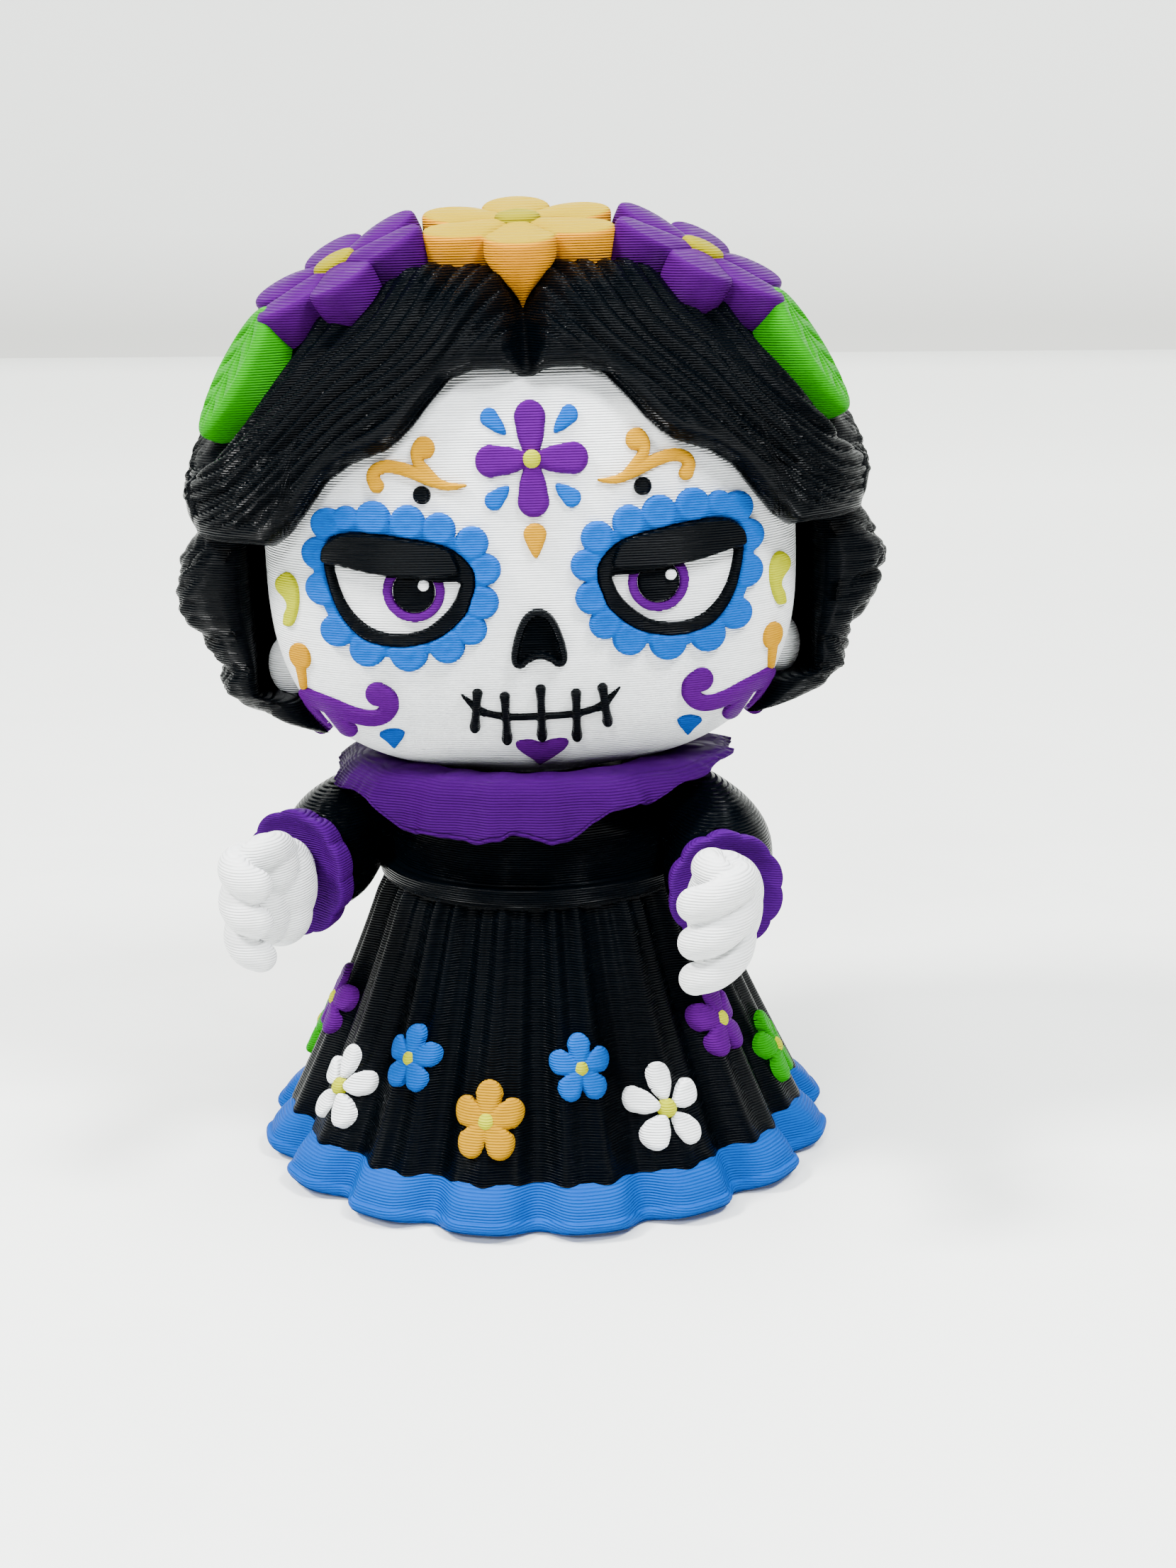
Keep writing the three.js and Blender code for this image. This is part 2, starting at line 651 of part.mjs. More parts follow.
function dressSolid() {
  const rings = [skirt.hemTop, 12, 19, skirt.waist].map((z) => panelRing((a) => skirtRadius(a, z), () => z));
  const { belt, beltTop, radius, shoulder, top } = bodice;
  const profile = [
    [belt - 2, skirt.waist - 1], [belt, skirt.waist], [belt, beltTop], [radius, beltTop + 0.3],
    [radius, shoulder], [radius - 2, top - 0.5], [9, top],
  ];
  const body = profile.map(([r, z]) => ringOf(steps(18).map((i) => (i / 9) * PI), () => r, () => z));
  return joined([loft(rings), loft(body), sleeveGeometry(-1), sleeveGeometry(1)]);
}

function hemGeometry() {
  const rim = (a) => hem.rim - hem.valley * grooveAt(a);
  const lift = (a) => mix(hem.rimLift, hem.valleyLift, grooveAt(a));
  return loft([
    panelRing(() => hem.foot, () => 0),
    panelRing(rim, lift),
    panelRing((a) => rim(a) - 0.15, (a) => lift(a) + 1.1),
    panelRing((a) => skirtRadius(a, skirt.hemTop), () => skirt.hemTop - gap),
  ]);
}

function collarGeometry() {
  const count = collar.scallops * 2;
  const ring = (out, down, lift, from = collar.top) =>
    steps(count).map((i) => {
      const a = (i / count) * 2 * PI;
      const wave = collar.scallop * cos(collar.scallops * a);
      const width = mix(collar.inner, collar.width + wave, out);
      const depth = mix(collar.inner, collar.depth + wave, out);
      const low = collar.edge + collar.sideLift * clamp((abs(sin(a)) - 0.45) / 0.35, 0, 1) - wave;
      return [width * sin(a), -depth * cos(a), mix(from, low, down) + lift];
    });
  const rings = [
    ring(0, 0, -0.7, collar.innerTop), ring(0.92, 1, -0.1), ring(1, 0.96, 0), ring(0.94, 0.35, 0),
    ring(0.62, 0.02, 0), ring(0, 0, 0, collar.innerTop),
  ];
  return loft(rings, true);
}

// Cuffs and hands. Points along the forearm are across, forward and up.
function onForearm(side) {
  const outward = radians(arm.outward);
  return ([across, forward, up]) => [
    side * (arm.wrist[0] + across * cos(outward) + forward * sin(outward)),
    arm.wrist[1] + across * sin(outward) - forward * cos(outward),
    arm.wrist[2] + up,
  ];
}

function cuffGeometry(side) {
  const count = cuff.scallops * 2;
  const place = onForearm(side);
  const ring = (radius, wave, forward) =>
    steps(count).map((i) => {
      const t = (i / count) * 2 * PI;
      const r = radius + wave * cos(cuff.scallops * t);
      return place([r * sin(t), forward, r * cos(t)]);
    });
  return loft([
    ring(arm.radii[2], 0, gap),
    ring(cuff.outer, cuff.scallop, gap + cuff.thick * 0.75),
    ring(cuff.outer - 0.3, cuff.scallop, gap + cuff.thick),
    ring(cuff.dish, 0, gap + cuff.thick - cuff.dishDepth),
  ]);
}

// Hand: three rolled fingers, stacked, a palm and a thumb, given for the +X side
const hand = {
  palm: { centre: [20.2, -18.1, 28.7], radii: [3.5, 4.9, 4.6] },
  fingers: [
    {
      points: [[21.8, -18.5, 32.3], [22.6, -22.3, 32.7], [22.2, -25, 32.4], [21, -26.7, 31.9], [19.2, -26.8, 31.4]],
      radius: 1.6,
    },
    {
      points: [[22.1, -18.3, 30], [22.8, -22.3, 30.1], [22.4, -25.2, 29.5], [21.1, -26.9, 28.8], [19.2, -26.9, 28.2]],
      radius: 1.55,
    },
    {
      points: [[21.8, -18.3, 27.2], [22.5, -22, 27.2], [22.3, -24.8, 26.4], [21, -26.5, 25.7], [19.2, -26.5, 25]],
      radius: 1.48,
    },
  ],
  thumb: { points: [[19.8, -16.5, 31.2], [19.4, -19.8, 32.7], [19.7, -22.4, 33.1], [20.8, -24.1, 32.9]], radius: 1.6 },
  turnedIn: { left: 7, right: 0 }, // degrees about the wrist
};

function handGeometry(side, word) {
  const turn = radians(hand.turnedIn[word]);
  const [wristX, wristY] = arm.wrist;
  const flip = ([x, y, z]) => {
    const [dx, dy] = [x - wristX, y - wristY];
    return [side * (wristX + dx * cos(turn) + dy * sin(turn)), wristY + dy * cos(turn) - dx * sin(turn), z];
  };
  const roundedEnds = (s) => 0.35 + 0.65 * min(1, min(s, 1 - s) / 0.16) ** 0.5;
  const finger = ({ points, radius }, count) => limb(points.map(flip), (s) => radius * roundedEnds(s), count, 6);
  const palm = ellipsoid(flip(hand.palm.centre), hand.palm.radii, 5, 7);
  return toGeometry(joined([palm, ...hand.fingers.map((f) => finger(f, 5)), finger(hand.thumb, 3)]));
}

// Everything in its place. The head turns and leans about the middle of the skull.
const figure = new THREE.Group();
const headGroup = new THREE.Group();
const headPivot = new THREE.Group();
headPivot.position.z = head.middle;
headPivot.rotation.set(0, radians(head.lean), radians(head.turn), "ZYX");
headGroup.position.z = -head.middle;
headPivot.add(headGroup);
figure.add(headPivot);

function put(group, name, geometry, colour) {
  const mesh = new THREE.Mesh(geometry, paint[colour].clone());
  mesh.name = name;
  group.add(mesh);
}

const sides = [[-1, "left"], [1, "right"]];

put(figure, "dress", toGeometry(dressSolid()), "black");
put(figure, "hem", hemGeometry(), "blue");
put(figure, "collar", collarGeometry(), "purple");
for (const [side, word] of sides) {
  put(figure, `cuff_${word}`, cuffGeometry(side), "purple");
  put(figure, `hand_${word}`, handGeometry(side, word), "white");
}
for (const [colour, degrees, word] of dressFlowers) {
  put(figure, `dress_flower_${colour}_${word}`, dressFlowerGeometry(colour, degrees), colour);
}

put(headGroup, "head", toGeometry(joined(headParts())), "white");
put(headGroup, "hair", hairGeometry(), "black");
const [topSocket, ...sideSockets] = crown.map(crownSocket);
crown.forEach((spec, i) => {
  const flower = crownFlowerGeometry(spec);
  const shape = i === 0 ? flower : toGeometry(cut(toSolid(flower), [topSocket]));
  put(headGroup, `crown_flower_${spec.name}`, shape, spec.colour);
  put(headGroup, `crown_centre_${spec.name}`, crownCentreGeometry(spec), "yellow");
});
put(headGroup, "nose", plate(onHead, closedOutline(noseOutline, 12), noseProfile), "black");
put(headGroup, "mouth", mouthGeometry(), "black");
put(headGroup, "chin_heart", plate(onHead, closedOutline(chinOutline, 12)), "purple");
put(headGroup, "forehead_flower", foreheadGeometry(), "purple");
const heartOutline = polarOutline(foreheadFlower.centre, 8, () => foreheadFlower.heart);
put(headGroup, "forehead_centre", plate(onHead, heartOutline, [[1, 0.8], [0.7, 1.2]]), "yellow");
put(headGroup, "bridge_drop", plate(onHead, dropOutline([0.05, 59.7], 1, [0.05, 57.9], 10)), "orange");
for (const [side, word] of sides) {
  put(headGroup, `leaf_${word}`, toGeometry(cut(toSolid(leafGeometry(side)), sideSockets)), "green");
  put(headGroup, `eye_surround_${word}`, eyeSurround(side), "blue");
  put(headGroup, `eye_lid_${word}`, eyeLid(side), "black");
  put(headGroup, `iris_${word}`, irisGeometry(side), "purple");
  put(headGroup, `brow_scroll_${word}`, browGeometry(side), "orange");
  put(headGroup, `cheek_scroll_${word}`, cheekGeometry(side), "purple");
  for (const [name, [colour, outline]] of Object.entries(pairedMarks)) {
    put(headGroup, `${name}_${word}`, plate(facing(side), outline), colour);
  }
}

export default figure;
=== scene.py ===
import math
import bpy
import numpy as np
from mathutils import Matrix, Vector
from mathutils.kdtree import KDTree


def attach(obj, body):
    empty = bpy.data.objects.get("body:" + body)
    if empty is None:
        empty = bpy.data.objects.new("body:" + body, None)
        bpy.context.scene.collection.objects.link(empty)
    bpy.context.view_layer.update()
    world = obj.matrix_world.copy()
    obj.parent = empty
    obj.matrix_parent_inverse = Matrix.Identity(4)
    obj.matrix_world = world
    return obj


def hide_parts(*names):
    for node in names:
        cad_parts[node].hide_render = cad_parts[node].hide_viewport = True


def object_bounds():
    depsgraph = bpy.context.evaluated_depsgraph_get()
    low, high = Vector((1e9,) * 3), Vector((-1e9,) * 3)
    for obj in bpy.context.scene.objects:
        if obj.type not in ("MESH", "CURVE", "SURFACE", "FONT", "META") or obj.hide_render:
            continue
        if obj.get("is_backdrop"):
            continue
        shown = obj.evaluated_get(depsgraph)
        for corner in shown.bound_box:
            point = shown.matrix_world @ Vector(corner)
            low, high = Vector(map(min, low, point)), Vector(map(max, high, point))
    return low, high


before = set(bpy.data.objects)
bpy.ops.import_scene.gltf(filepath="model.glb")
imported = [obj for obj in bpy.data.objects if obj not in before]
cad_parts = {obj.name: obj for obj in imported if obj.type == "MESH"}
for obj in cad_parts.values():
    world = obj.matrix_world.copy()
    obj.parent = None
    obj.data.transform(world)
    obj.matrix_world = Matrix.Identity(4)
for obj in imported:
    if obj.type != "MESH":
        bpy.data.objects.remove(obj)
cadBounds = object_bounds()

toMetres = 0.001
bothSides = ((-1, "left"), (1, "right"))  # as seen from the front
print("frame loaded,", len(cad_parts), "solids")

# camera, lamps and the room's faint light

view = {
    "place": (48.9, -199.39, 87.7),
    "right": (0.97741, 0.21023, -0.02211),
    "up": (-0.03236, 0.25215, 0.96715),
    "forward": (-0.2089, 0.94458, -0.25325),
    "lens": 52.02, "sensor": 36, "nearest": 0.01,
}
lamps = [
    # name, place, aim, size, watts, tint
    ("keyLamp", (-320, -190, 470), (0, 0, 40), 140, 9.6, (1, 0.99, 0.97)),
    ("topLamp", (10, -40, 620), (0, 0, 40), 440, 6.5, (0.985, 0.995, 1)),
    ("sideLamp", (300, -180, 480), (0, 0, 40), 140, 7, (0.97, 0.99, 1)),
    ("frontLamp", (-20, -560, 400), (0, 0, 50), 130, 3.9, (0.97, 0.99, 1)),
]
air = {"tint": (0.93, 0.95, 0.93, 1), "strength": 0.12}


def placed(name, data):
    thing = bpy.data.objects.new(name, data)
    bpy.context.scene.collection.objects.link(thing)
    return thing


def placeCamera():
    data = bpy.data.cameras.new("figureCamera")
    data.lens = view["lens"]
    data.sensor_width = view["sensor"]
    data.sensor_fit = "AUTO"
    data.clip_start = view["nearest"]
    camera = placed("figureCamera", data)
    right, up, back = Vector(view["right"]), Vector(view["up"]), -Vector(view["forward"])
    rows = [(right[k], up[k], back[k], view["place"][k] * toMetres) for k in range(3)]
    camera.matrix_world = Matrix(rows + [(0, 0, 0, 1)])
    bpy.context.scene.camera = camera


def hangLamps():
    for name, place, aim, size, watts, tint in lamps:
        data = bpy.data.lights.new(name, "AREA")
        data.shape = "DISK"
        data.size = size * toMetres
        data.energy = watts
        data.color = tint
        lamp = placed(name, data)
        lamp.location = Vector(place) * toMetres
        lamp.rotation_euler = (Vector(aim) - Vector(place)).to_track_quat("-Z", "Y").to_euler()
    world = bpy.data.worlds.new("paleRoom")
    world.use_nodes = True
    sky = world.node_tree.nodes["Background"]
    sky.inputs["Color"].default_value = air["tint"]
    sky.inputs["Strength"].default_value = air["strength"]
    bpy.context.scene.world = world


# shader tools

def operator(operation, turned=False):
    return lambda self, other: self.sum(operation, other, turned=turned)


class Wire:
    # an output socket that can stand in a sum
    __add__ = __radd__ = operator("ADD")
    __mul__ = __rmul__ = operator("MULTIPLY")
    __sub__ = operator("SUBTRACT")
    __rsub__ = operator("SUBTRACT", turned=True)
    __pow__ = operator("POWER")

    def __init__(self, finish, socket):
        self.finish = finish
        self.socket = socket

    def sum(self, operation, *others, turned=False):
        given = [*others, self] if turned else [self, *others]
        return self.finish.node("ShaderNodeMath", {"operation": operation}, dict(enumerate(given)))

    def sine(self):
        return self.sum("SINE")

    def size(self):
        return self.sum("ABSOLUTE")

    def held(self):  # between 0 and 1
        return self.sum("MAXIMUM", 0).sum("MINIMUM", 1)


class Finish:
    # a material and the few nodes that it is made from
    def __init__(self, name):
        self.material = bpy.data.materials.new(name)
        self.material.use_nodes = True
        self.tree = self.material.node_tree
        self.tree.nodes.clear()
        self.place = self.node("ShaderNodeTexCoord", out="Object")  # where a point is, in metres

    def node(self, kind, settings=None, sockets=None, out=0):
        made = self.tree.nodes.new(kind)
        for key, value in (settings or {}).items():
            setattr(made, key, value)
        for key, value in (sockets or {}).items():
            if isinstance(value, Wire):
                self.tree.links.new(value.socket, made.inputs[key])
            else:
                made.inputs[key].default_value = value
        return Wire(self, made.outputs[out]) if made.outputs else None

    def along(self, axis, vector=None):
        return self.node("ShaderNodeSeparateXYZ", None, {0: vector or self.place}, out=axis)

    def cloud(self, scale, detail=2, rough=0.5, stretch=None):
        vector = self.place
        if stretch:
            vector = self.node("ShaderNodeVectorMath", {"operation": "MULTIPLY"}, {0: vector, 1: stretch})
        values = {"Vector": vector, "Scale": scale, "Detail": detail, "Roughness": rough}
        return self.node("ShaderNodeTexNoise", None, values)

    def mixed(self, share, first, second):
        return self.node("ShaderNodeMix", {"data_type": "RGBA"}, {0: share, 6: first, 7: second}, out=2)

    def done(self, sockets):
        shader = self.node("ShaderNodeBsdfPrincipled", None, sockets)
        self.node("ShaderNodeOutputMaterial", None, {"Surface": shader})
        return self.material


# printed plastic: fine level layers, broken glints along them, a slow drift of tone, and painted shade in the
# grooves between layers
layers = {
    "pitch": 0.22, "depth": 0.00016, "wobble": 0.35, "beadPower": 0.6,  # depth in metres of bump
    "dashes": (420, 420, 5000), "levels": (6, 6, 1300), "driftScale": 160,
    "beadShare": 0.8, "dashShare": 0.5, "levelShare": 0.35, "driftAndShadeShare": 0.64, "ior": 1.46,
}


def plastic(name, colour, shade, gloss, layerStrength, shine, paintedTopShade=None):
    v = layers
    finish = Finish(name)
    slow = finish.cloud(v["driftScale"])
    dash = finish.cloud(1, 1, stretch=v["dashes"])
    level = finish.cloud(1, 1, stretch=v["levels"])  # some layers sit a little out of line
    turn = finish.along("Z") * (2 * math.pi / v["pitch"] / toMetres) + (slow - 0.5) * v["wobble"]
    bead = (turn.sine() * 0.5 + 0.5) ** v["beadPower"]
    skin = bead * v["beadShare"] + dash * v["dashShare"] + level * v["levelShare"]
    # the darker tone: partly a slow random drift, partly painted shade in the grooves between layers
    driftAndGrooveShade = ((slow - 0.5) * 1.6 + (1 - bead) * 0.5 + (level - 0.5) * 0.8).held()
    tone = finish.mixed(driftAndGrooveShade * v["driftAndShadeShare"], (*colour, 1), (*shade, 1))
    # painted shade: where a surface faces up, its colour turns darker and yellower
    if paintedTopShade:
        facingUp = finish.along("Z", finish.node("ShaderNodeTexCoord", out="Normal"))
        tone = finish.mixed((facingUp * 3 - 1.4).held(), tone, (*paintedTopShade, 1))
    rough = (dash - 0.5) * 0.3 + gloss + (slow - 0.5) * 0.12
    bump = finish.node("ShaderNodeBump", None, {
        "Strength": min(1, layerStrength), "Distance": v["depth"] * max(1, layerStrength), "Height": skin,
    })
    return finish.done({
        "Base Color": tone, "Roughness": rough.held(), "Normal": bump,
        "IOR": v["ior"], "Specular IOR Level": shine,
    })


floor = {
    "tone": (0.77, 0.785, 0.76, 1), "vein": (0.52, 0.54, 0.52, 1), "veinShare": 0.07, "veinThin": 26,
    "veinScale": 7, "veinStretch": (1, 1.6, 1), "rough": 0.34, "shine": 0.35, "glow": 1.6,
    "nearGlow": (0.04, 0.04, 0.04, 1), "farGlow": (0.95, 0.98, 0.93, 1),
    "start": (-1500, 0), "end": (1050, 0),  # how far back and how high
}
wall = {
    "tone": (0.7, 0.715, 0.69, 1), "paler": (0.76, 0.775, 0.75, 1), "rough": 0.9, "glow": 1.85,
    "footGlow": (0.7, 0.71, 0.66, 1), "topGlow": (0.93, 0.96, 0.92, 1),
    "start": (1250, -400), "end": (1250, 1400),
}
roomHalfWidth = 2500


def floorFinish():  # it brightens away from the figure and dims again at the foot of the wall
    v = floor
    finish = Finish("paleStone")
    away = finish.along("Y")
    brightening = (away * 2.4 - 0.15).held() * ((1.24 - away) * 3.2).held()
    vein = finish.cloud(v["veinScale"], 6, 0.62, v["veinStretch"])
    line = 1 - ((vein - 0.5).size() * v["veinThin"]).held()
    return finish.done({
        "Base Color": finish.mixed(line * v["veinShare"], v["tone"], v["vein"]),
        "Roughness": v["rough"] + finish.cloud(30) * 0.12, "Specular IOR Level": v["shine"],
        "Emission Color": finish.mixed(brightening, v["nearGlow"], v["farGlow"]),
        "Emission Strength": v["glow"],
    })


def wallFinish():  # dimmer towards its foot, which hides where it meets the floor
    v = wall
    finish = Finish("paleWall")
    upward = (finish.along("Z") * 16 - 0.1).held()
    return finish.done({
        "Base Color": finish.mixed(finish.cloud(3), v["tone"], v["paler"]), "Roughness": v["rough"],
        "Emission Color": finish.mixed(upward, v["footGlow"], v["topGlow"]), "Emission Strength": v["glow"],
    })


colours = {
    # name: colour, shade, roughness, strength of the layers, shine, painted shade where it faces up
    "white_plastic": ((0.84, 0.86, 0.87), (0.66, 0.68, 0.71), 0.48, 0.95, 0.12),
    "black_plastic": ((0.0003, 0.0009, 0.0016), (0.0002, 0.0004, 0.0008), 0.23, 1.2, 0.044),
    "purple_plastic": ((0.06, 0, 0.122), (0.034, 0, 0.076), 0.42, 0.9, 0.015),
    "blue_plastic": ((0, 0.052, 0.285), (0, 0.034, 0.215), 0.42, 0.9, 0.012),
    "orange_plastic": ((0.42, 0.2, 0), (0.34, 0.145, 0), 0.42, 0.8, 0.015),
    "yellow_plastic": ((0.34, 0.36, 0), (0.27, 0.27, 0), 0.42, 0.7, 0.015),
    "crownPurple": ((0.042, 0, 0.085), (0.024, 0, 0.052), 0.42, 0.9, 0.015),
    # its last colour is painted shade on the upward faces of the petals
    "crownOrange": ((0.52, 0.205, 0), (0.43, 0.15, 0), 0.42, 0.8, 0.015, (0.3, 0.2, 0)),
    "dressOrange": ((0.335, 0.165, 0), (0.27, 0.12, 0), 0.42, 0.8, 0.015),
    "crownYellow": ((0.2, 0.172, 0), (0.17, 0.14, 0), 0.42, 0.7, 0.015),
    "skyBlue": ((0, 0.072, 0.36), (0, 0.05, 0.29), 0.42, 0.9, 0.012),
    # a darker copy of the purple plastic: painted shade where the head shadows the collar
    "shadedCollarPurple": ((0.024, 0, 0.058), (0.014, 0, 0.036), 0.42, 0.9, 0.014),
    "cuffPurple": ((0.036, 0, 0.094), (0.022, 0, 0.058), 0.42, 0.9, 0.014),
    "leafGreen": ((0.008, 0.2, 0), (0.004, 0.14, 0), 0.4, 0.8, 0.015),
    # a darker copy of the white plastic: painted shade on the hands
    "shadedHandWhite": ((0.7, 0.71, 0.71), (0.58, 0.6, 0.61), 0.46, 0.8, 0.12),
    "paleGreen": ((0.004, 0.2, 0), (0.002, 0.14, 0), 0.4, 0.8, 0.015),
}
finishes = {}


def mixPlastics():
    for name, values in colours.items():
        finishes[name] = plastic(name, *values)
    print("plastics mixed")


# shape tools, all on arrays of points

def signed(v, power):
    return np.sign(v) * np.abs(v) ** power


def bell(v, middle, spread):
    return np.exp(-(((v - middle) / spread) ** 2))


def between(a, b, share):
    return a + (b - a) * share


def ramp(v, low, high):
    t = np.clip((v - low) / (high - low), 0, 1)
    return t * t * (3 - 2 * t)


def rounded(d, radius):  # 0 at an edge, 1 from radius on
    return np.sqrt(np.clip(1 - (1 - np.clip(d / radius, 0, 1)) ** 2, 0, 1))


def ridge(turns):  # full rounded locks with thin grooves between them
    return np.abs(np.cos(np.pi * turns)) ** 0.6


def around(count):  # angles all the way round, as one row
    return np.linspace(0, 2 * np.pi, count, endpoint=False)[None, :]


def steps(low, high, count):  # as one column
    return np.linspace(low, high, count)[:, None]


def footToTop(rows):  # angles up a round form, without its two poles
    return steps(-np.pi / 2, np.pi / 2, rows + 2)[1:-1]


def readOff(table, v):  # a table of pairs, read between its rows
    return np.interp(v, *zip(*table))


def unit(v):
    return v / np.maximum(np.linalg.norm(v, axis=-1), 1e-9)[..., None]


def pointsAt(x, y, z):
    return np.stack(np.broadcast_arrays(x, y, z), -1)


def roundAxis(r, angle, z):  # angle 0 is in front
    return pointsAt(r * np.sin(angle), -r * np.cos(angle), z)


def roundedBlock(form, t, u):  # t goes up from foot to top, u round from the front
    power = 2 / form["power"]
    level, width = signed(np.sin(t), power), np.cos(t) ** power
    depth = np.where(np.cos(u) > 0, form["front"], form["back"])
    reach = np.where(level < 0, form["below"], form["above"])
    x = form["halfWidth"] * width * signed(np.sin(u), power)
    return x, -depth * width * signed(np.cos(u), power), form["middle"] + reach * level


def wander(points, size, seed):  # a slow drift, about -1 to 1
    rng = np.random.default_rng(seed)
    total = 0
    for _ in range(6):
        way = rng.normal(size=3)
        way *= 2 * np.pi * rng.uniform(0.7, 1.4) / (size * np.linalg.norm(way))
        total = total + np.sin(points @ way + rng.uniform(0, 6.28))
    return total / 3


def curveThrough(points, count, closed=False):
    p = np.asarray(points, float)
    n = len(p)
    spans = n if closed else n - 1
    t = np.linspace(0, spans, count, endpoint=not closed)
    i = np.minimum(t.astype(int), spans - 1)
    f = (t - i)[:, None]
    at = (lambda k: p[k % n]) if closed else (lambda k: p[np.clip(k, 0, n - 1)])
    a, b, c, d = at(i - 1), at(i), at(i + 1), at(i + 2)
    bend = (2 * a - 5 * b + 4 * c - d) * f ** 2
    return 0.5 * (2 * b + (c - a) * f + bend + (3 * b - a - 3 * c + d) * f ** 3)


def spread(values, count):  # widths along a line, evenly spaced
    return np.interp(np.linspace(0, 1, count), np.linspace(0, 1, len(values)), values)


def tilted(tilt):  # about X first, then about Y, in degrees
    about, lean = (math.radians(angle) for angle in tilt)
    return np.array(Matrix.Rotation(lean, 3, "Y") @ Matrix.Rotation(about, 3, "X"))


def gridFaces(rows, columns, wrapped=False, looped=False):
    i = np.arange(rows if looped else rows - 1)[:, None]
    j = np.arange(columns if wrapped else columns - 1)[None, :]
    a = i * columns + j
    b = i * columns + (j + 1) % columns
    c = (i + 1) % rows * columns + (j + 1) % columns
    d = (i + 1) % rows * columns + j
    return np.stack([a, b, c, d], -1).reshape(-1, 4)


def closedSkin(rings, looped=False):
    # rings: rows x columns x 3, the ends closed by a fan
    rows, columns, _ = rings.shape
    points = rings.reshape(-1, 3)
    faces = gridFaces(rows, columns, True, looped).tolist()
    if not looped:
        middles = np.array([rings[0].mean(0), rings[-1].mean(0)])
        points = np.vstack([points, middles])
        for ring, apex in ((0, len(points) - 2), (rows - 1, len(points) - 1)):
            start = ring * columns
            for j in range(columns):
                edge = [start + j, start + (j + 1) % columns]
                faces.append([edge[1], edge[0], apex] if ring == 0 else [edge[0], edge[1], apex])
    return points, faces


def ball(centre, radii, rows=24, columns=32):
    t, u = footToTop(rows), around(columns)
    shape = pointsAt(np.cos(t) * np.cos(u), np.cos(t) * np.sin(u), np.sin(t))
    return closedSkin(shape * np.array(radii) + np.array(centre))


def tube(points, radii, count=24, sides=12):
    line = curveThrough(points, count)
    along = unit(np.gradient(line, axis=0))
    across = unit(np.cross([0.02, 0.1, 1], along))
    up = np.cross(along, across)
    r = spread(radii, count)[:, None, None]
    t = around(sides)[..., None]
    rings = line[:, None] + r * (np.cos(t) * across[:, None] + np.sin(t) * up[:, None])
    return closedSkin(rings)


headPose = {"turn": 15.1, "lean": -0.75, "pivot": (0, 0, 56.5)}


def turnedHead(points):
    turn, lean = math.radians(headPose["turn"]), math.radians(headPose["lean"])
    way = Matrix.Rotation(turn, 3, "Z") @ Matrix.Rotation(lean, 3, "Y")
    pivot = np.array(headPose["pivot"])
    return (points - pivot) @ np.array(way).T + pivot


def meshOf(name, points, faces, finish):
    mesh = bpy.data.meshes.new(name)
    mesh.from_pydata((np.asarray(points, float) * toMetres).tolist(), [], faces)
    mesh.materials.append(finish)
    return mesh


def addPiece(name, node, slot, parts, word="", onHead=False, inside=None, finish=None):
    # word is added to both names, and the faces look away from inside, or else from each part's own middle
    tail = f"_{word}" if word else ""
    nodes = [node + tail] if node else []
    points, faces = [], []
    for skin, polygons in parts:
        polygons = polygons if isinstance(polygons, list) else polygons.tolist()
        heart = np.asarray(skin.mean(0) if inside is None else inside, float)
        corners = np.array([p[:3] for p in polygons])
        a, b, c = (skin[corners[:, k]] - heart for k in range(3))
        if np.einsum("ij,ij->", a, np.cross(b, c)) < 0:
            polygons = [p[::-1] for p in polygons]
        start = sum(len(p) for p in points)
        faces += [[k + start for k in p] for p in polygons]
        points.append(skin)
    points = np.vstack(points)
    if onHead:
        points = turnedHead(points)
    mesh = meshOf(name + tail, points, faces, finishes[finish or f"{slot}_plastic"])
    mesh.polygons.foreach_set("use_smooth", [True] * len(mesh.polygons))
    piece = placed(name + tail, mesh)
    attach(piece, "root")
    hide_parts(*nodes)
    return piece


# raised marks: a shape drawn as a depth inside its outline, then stood off a surface

def disc(cx, cz, r):
    return lambda x, z: r - np.hypot(x - cx, z - cz)


def oval(cx, cz, rx, rz):
    return lambda x, z: (1 - np.hypot((x - cx) / rx, (z - cz) / rz)) * min(rx, rz)


def eachSpan(line, x, z):  # for each step of a line: its start, its way, and the nearest share and distance
    for (ax, az), (bx, bz) in zip(line[:-1], line[1:]):
        dx, dz = bx - ax, bz - az
        share = np.clip(((x - ax) * dx + (z - az) * dz) / max(dx * dx + dz * dz, 1e-9), 0, 1)
        yield ax, az, dx, dz, share, np.hypot(x - ax - share * dx, z - az - share * dz)


def stroke(points, widths, count=28):
    line, half = curveThrough(points, count), spread(widths, count)

    def field(x, z):
        depth = -9.0
        for k, (_, _, _, _, share, off) in enumerate(eachSpan(line, x, z)):
            depth = np.maximum(depth, between(half[k], half[k + 1], share) - off)
        return depth
    return field


def outlined(points, count=90):
    line = curveThrough(points, count, True)
    line = np.vstack([line, line[:1]])

    def field(x, z):
        depth, inner = 99, np.zeros(x.shape, bool)
        for ax, az, dx, dz, _, off in eachSpan(line, x, z):
            depth = np.minimum(depth, off)
            if dz != 0:
                inner ^= ((az > z) != (az + dz > z)) & (x < dx * (z - az) / dz + ax)
        return np.where(inner, depth, -depth)
    return field


def drop(middle, radius, tip):
    return stroke([tip, middle], [0.08, radius * 0.72, radius], 14)


def together(*fields):
    return lambda x, z: np.max([field(x, z) for field in fields], 0)


def framed(spots, margin):  # the window round some spots
    xs, zs = zip(*spots)
    return min(xs) - margin, max(xs) + margin, min(zs) - margin, max(zs) + margin


def puffed(height, edge, low=0.05):
    return lambda x, z, d: low + (height - low) * rounded(d, edge)


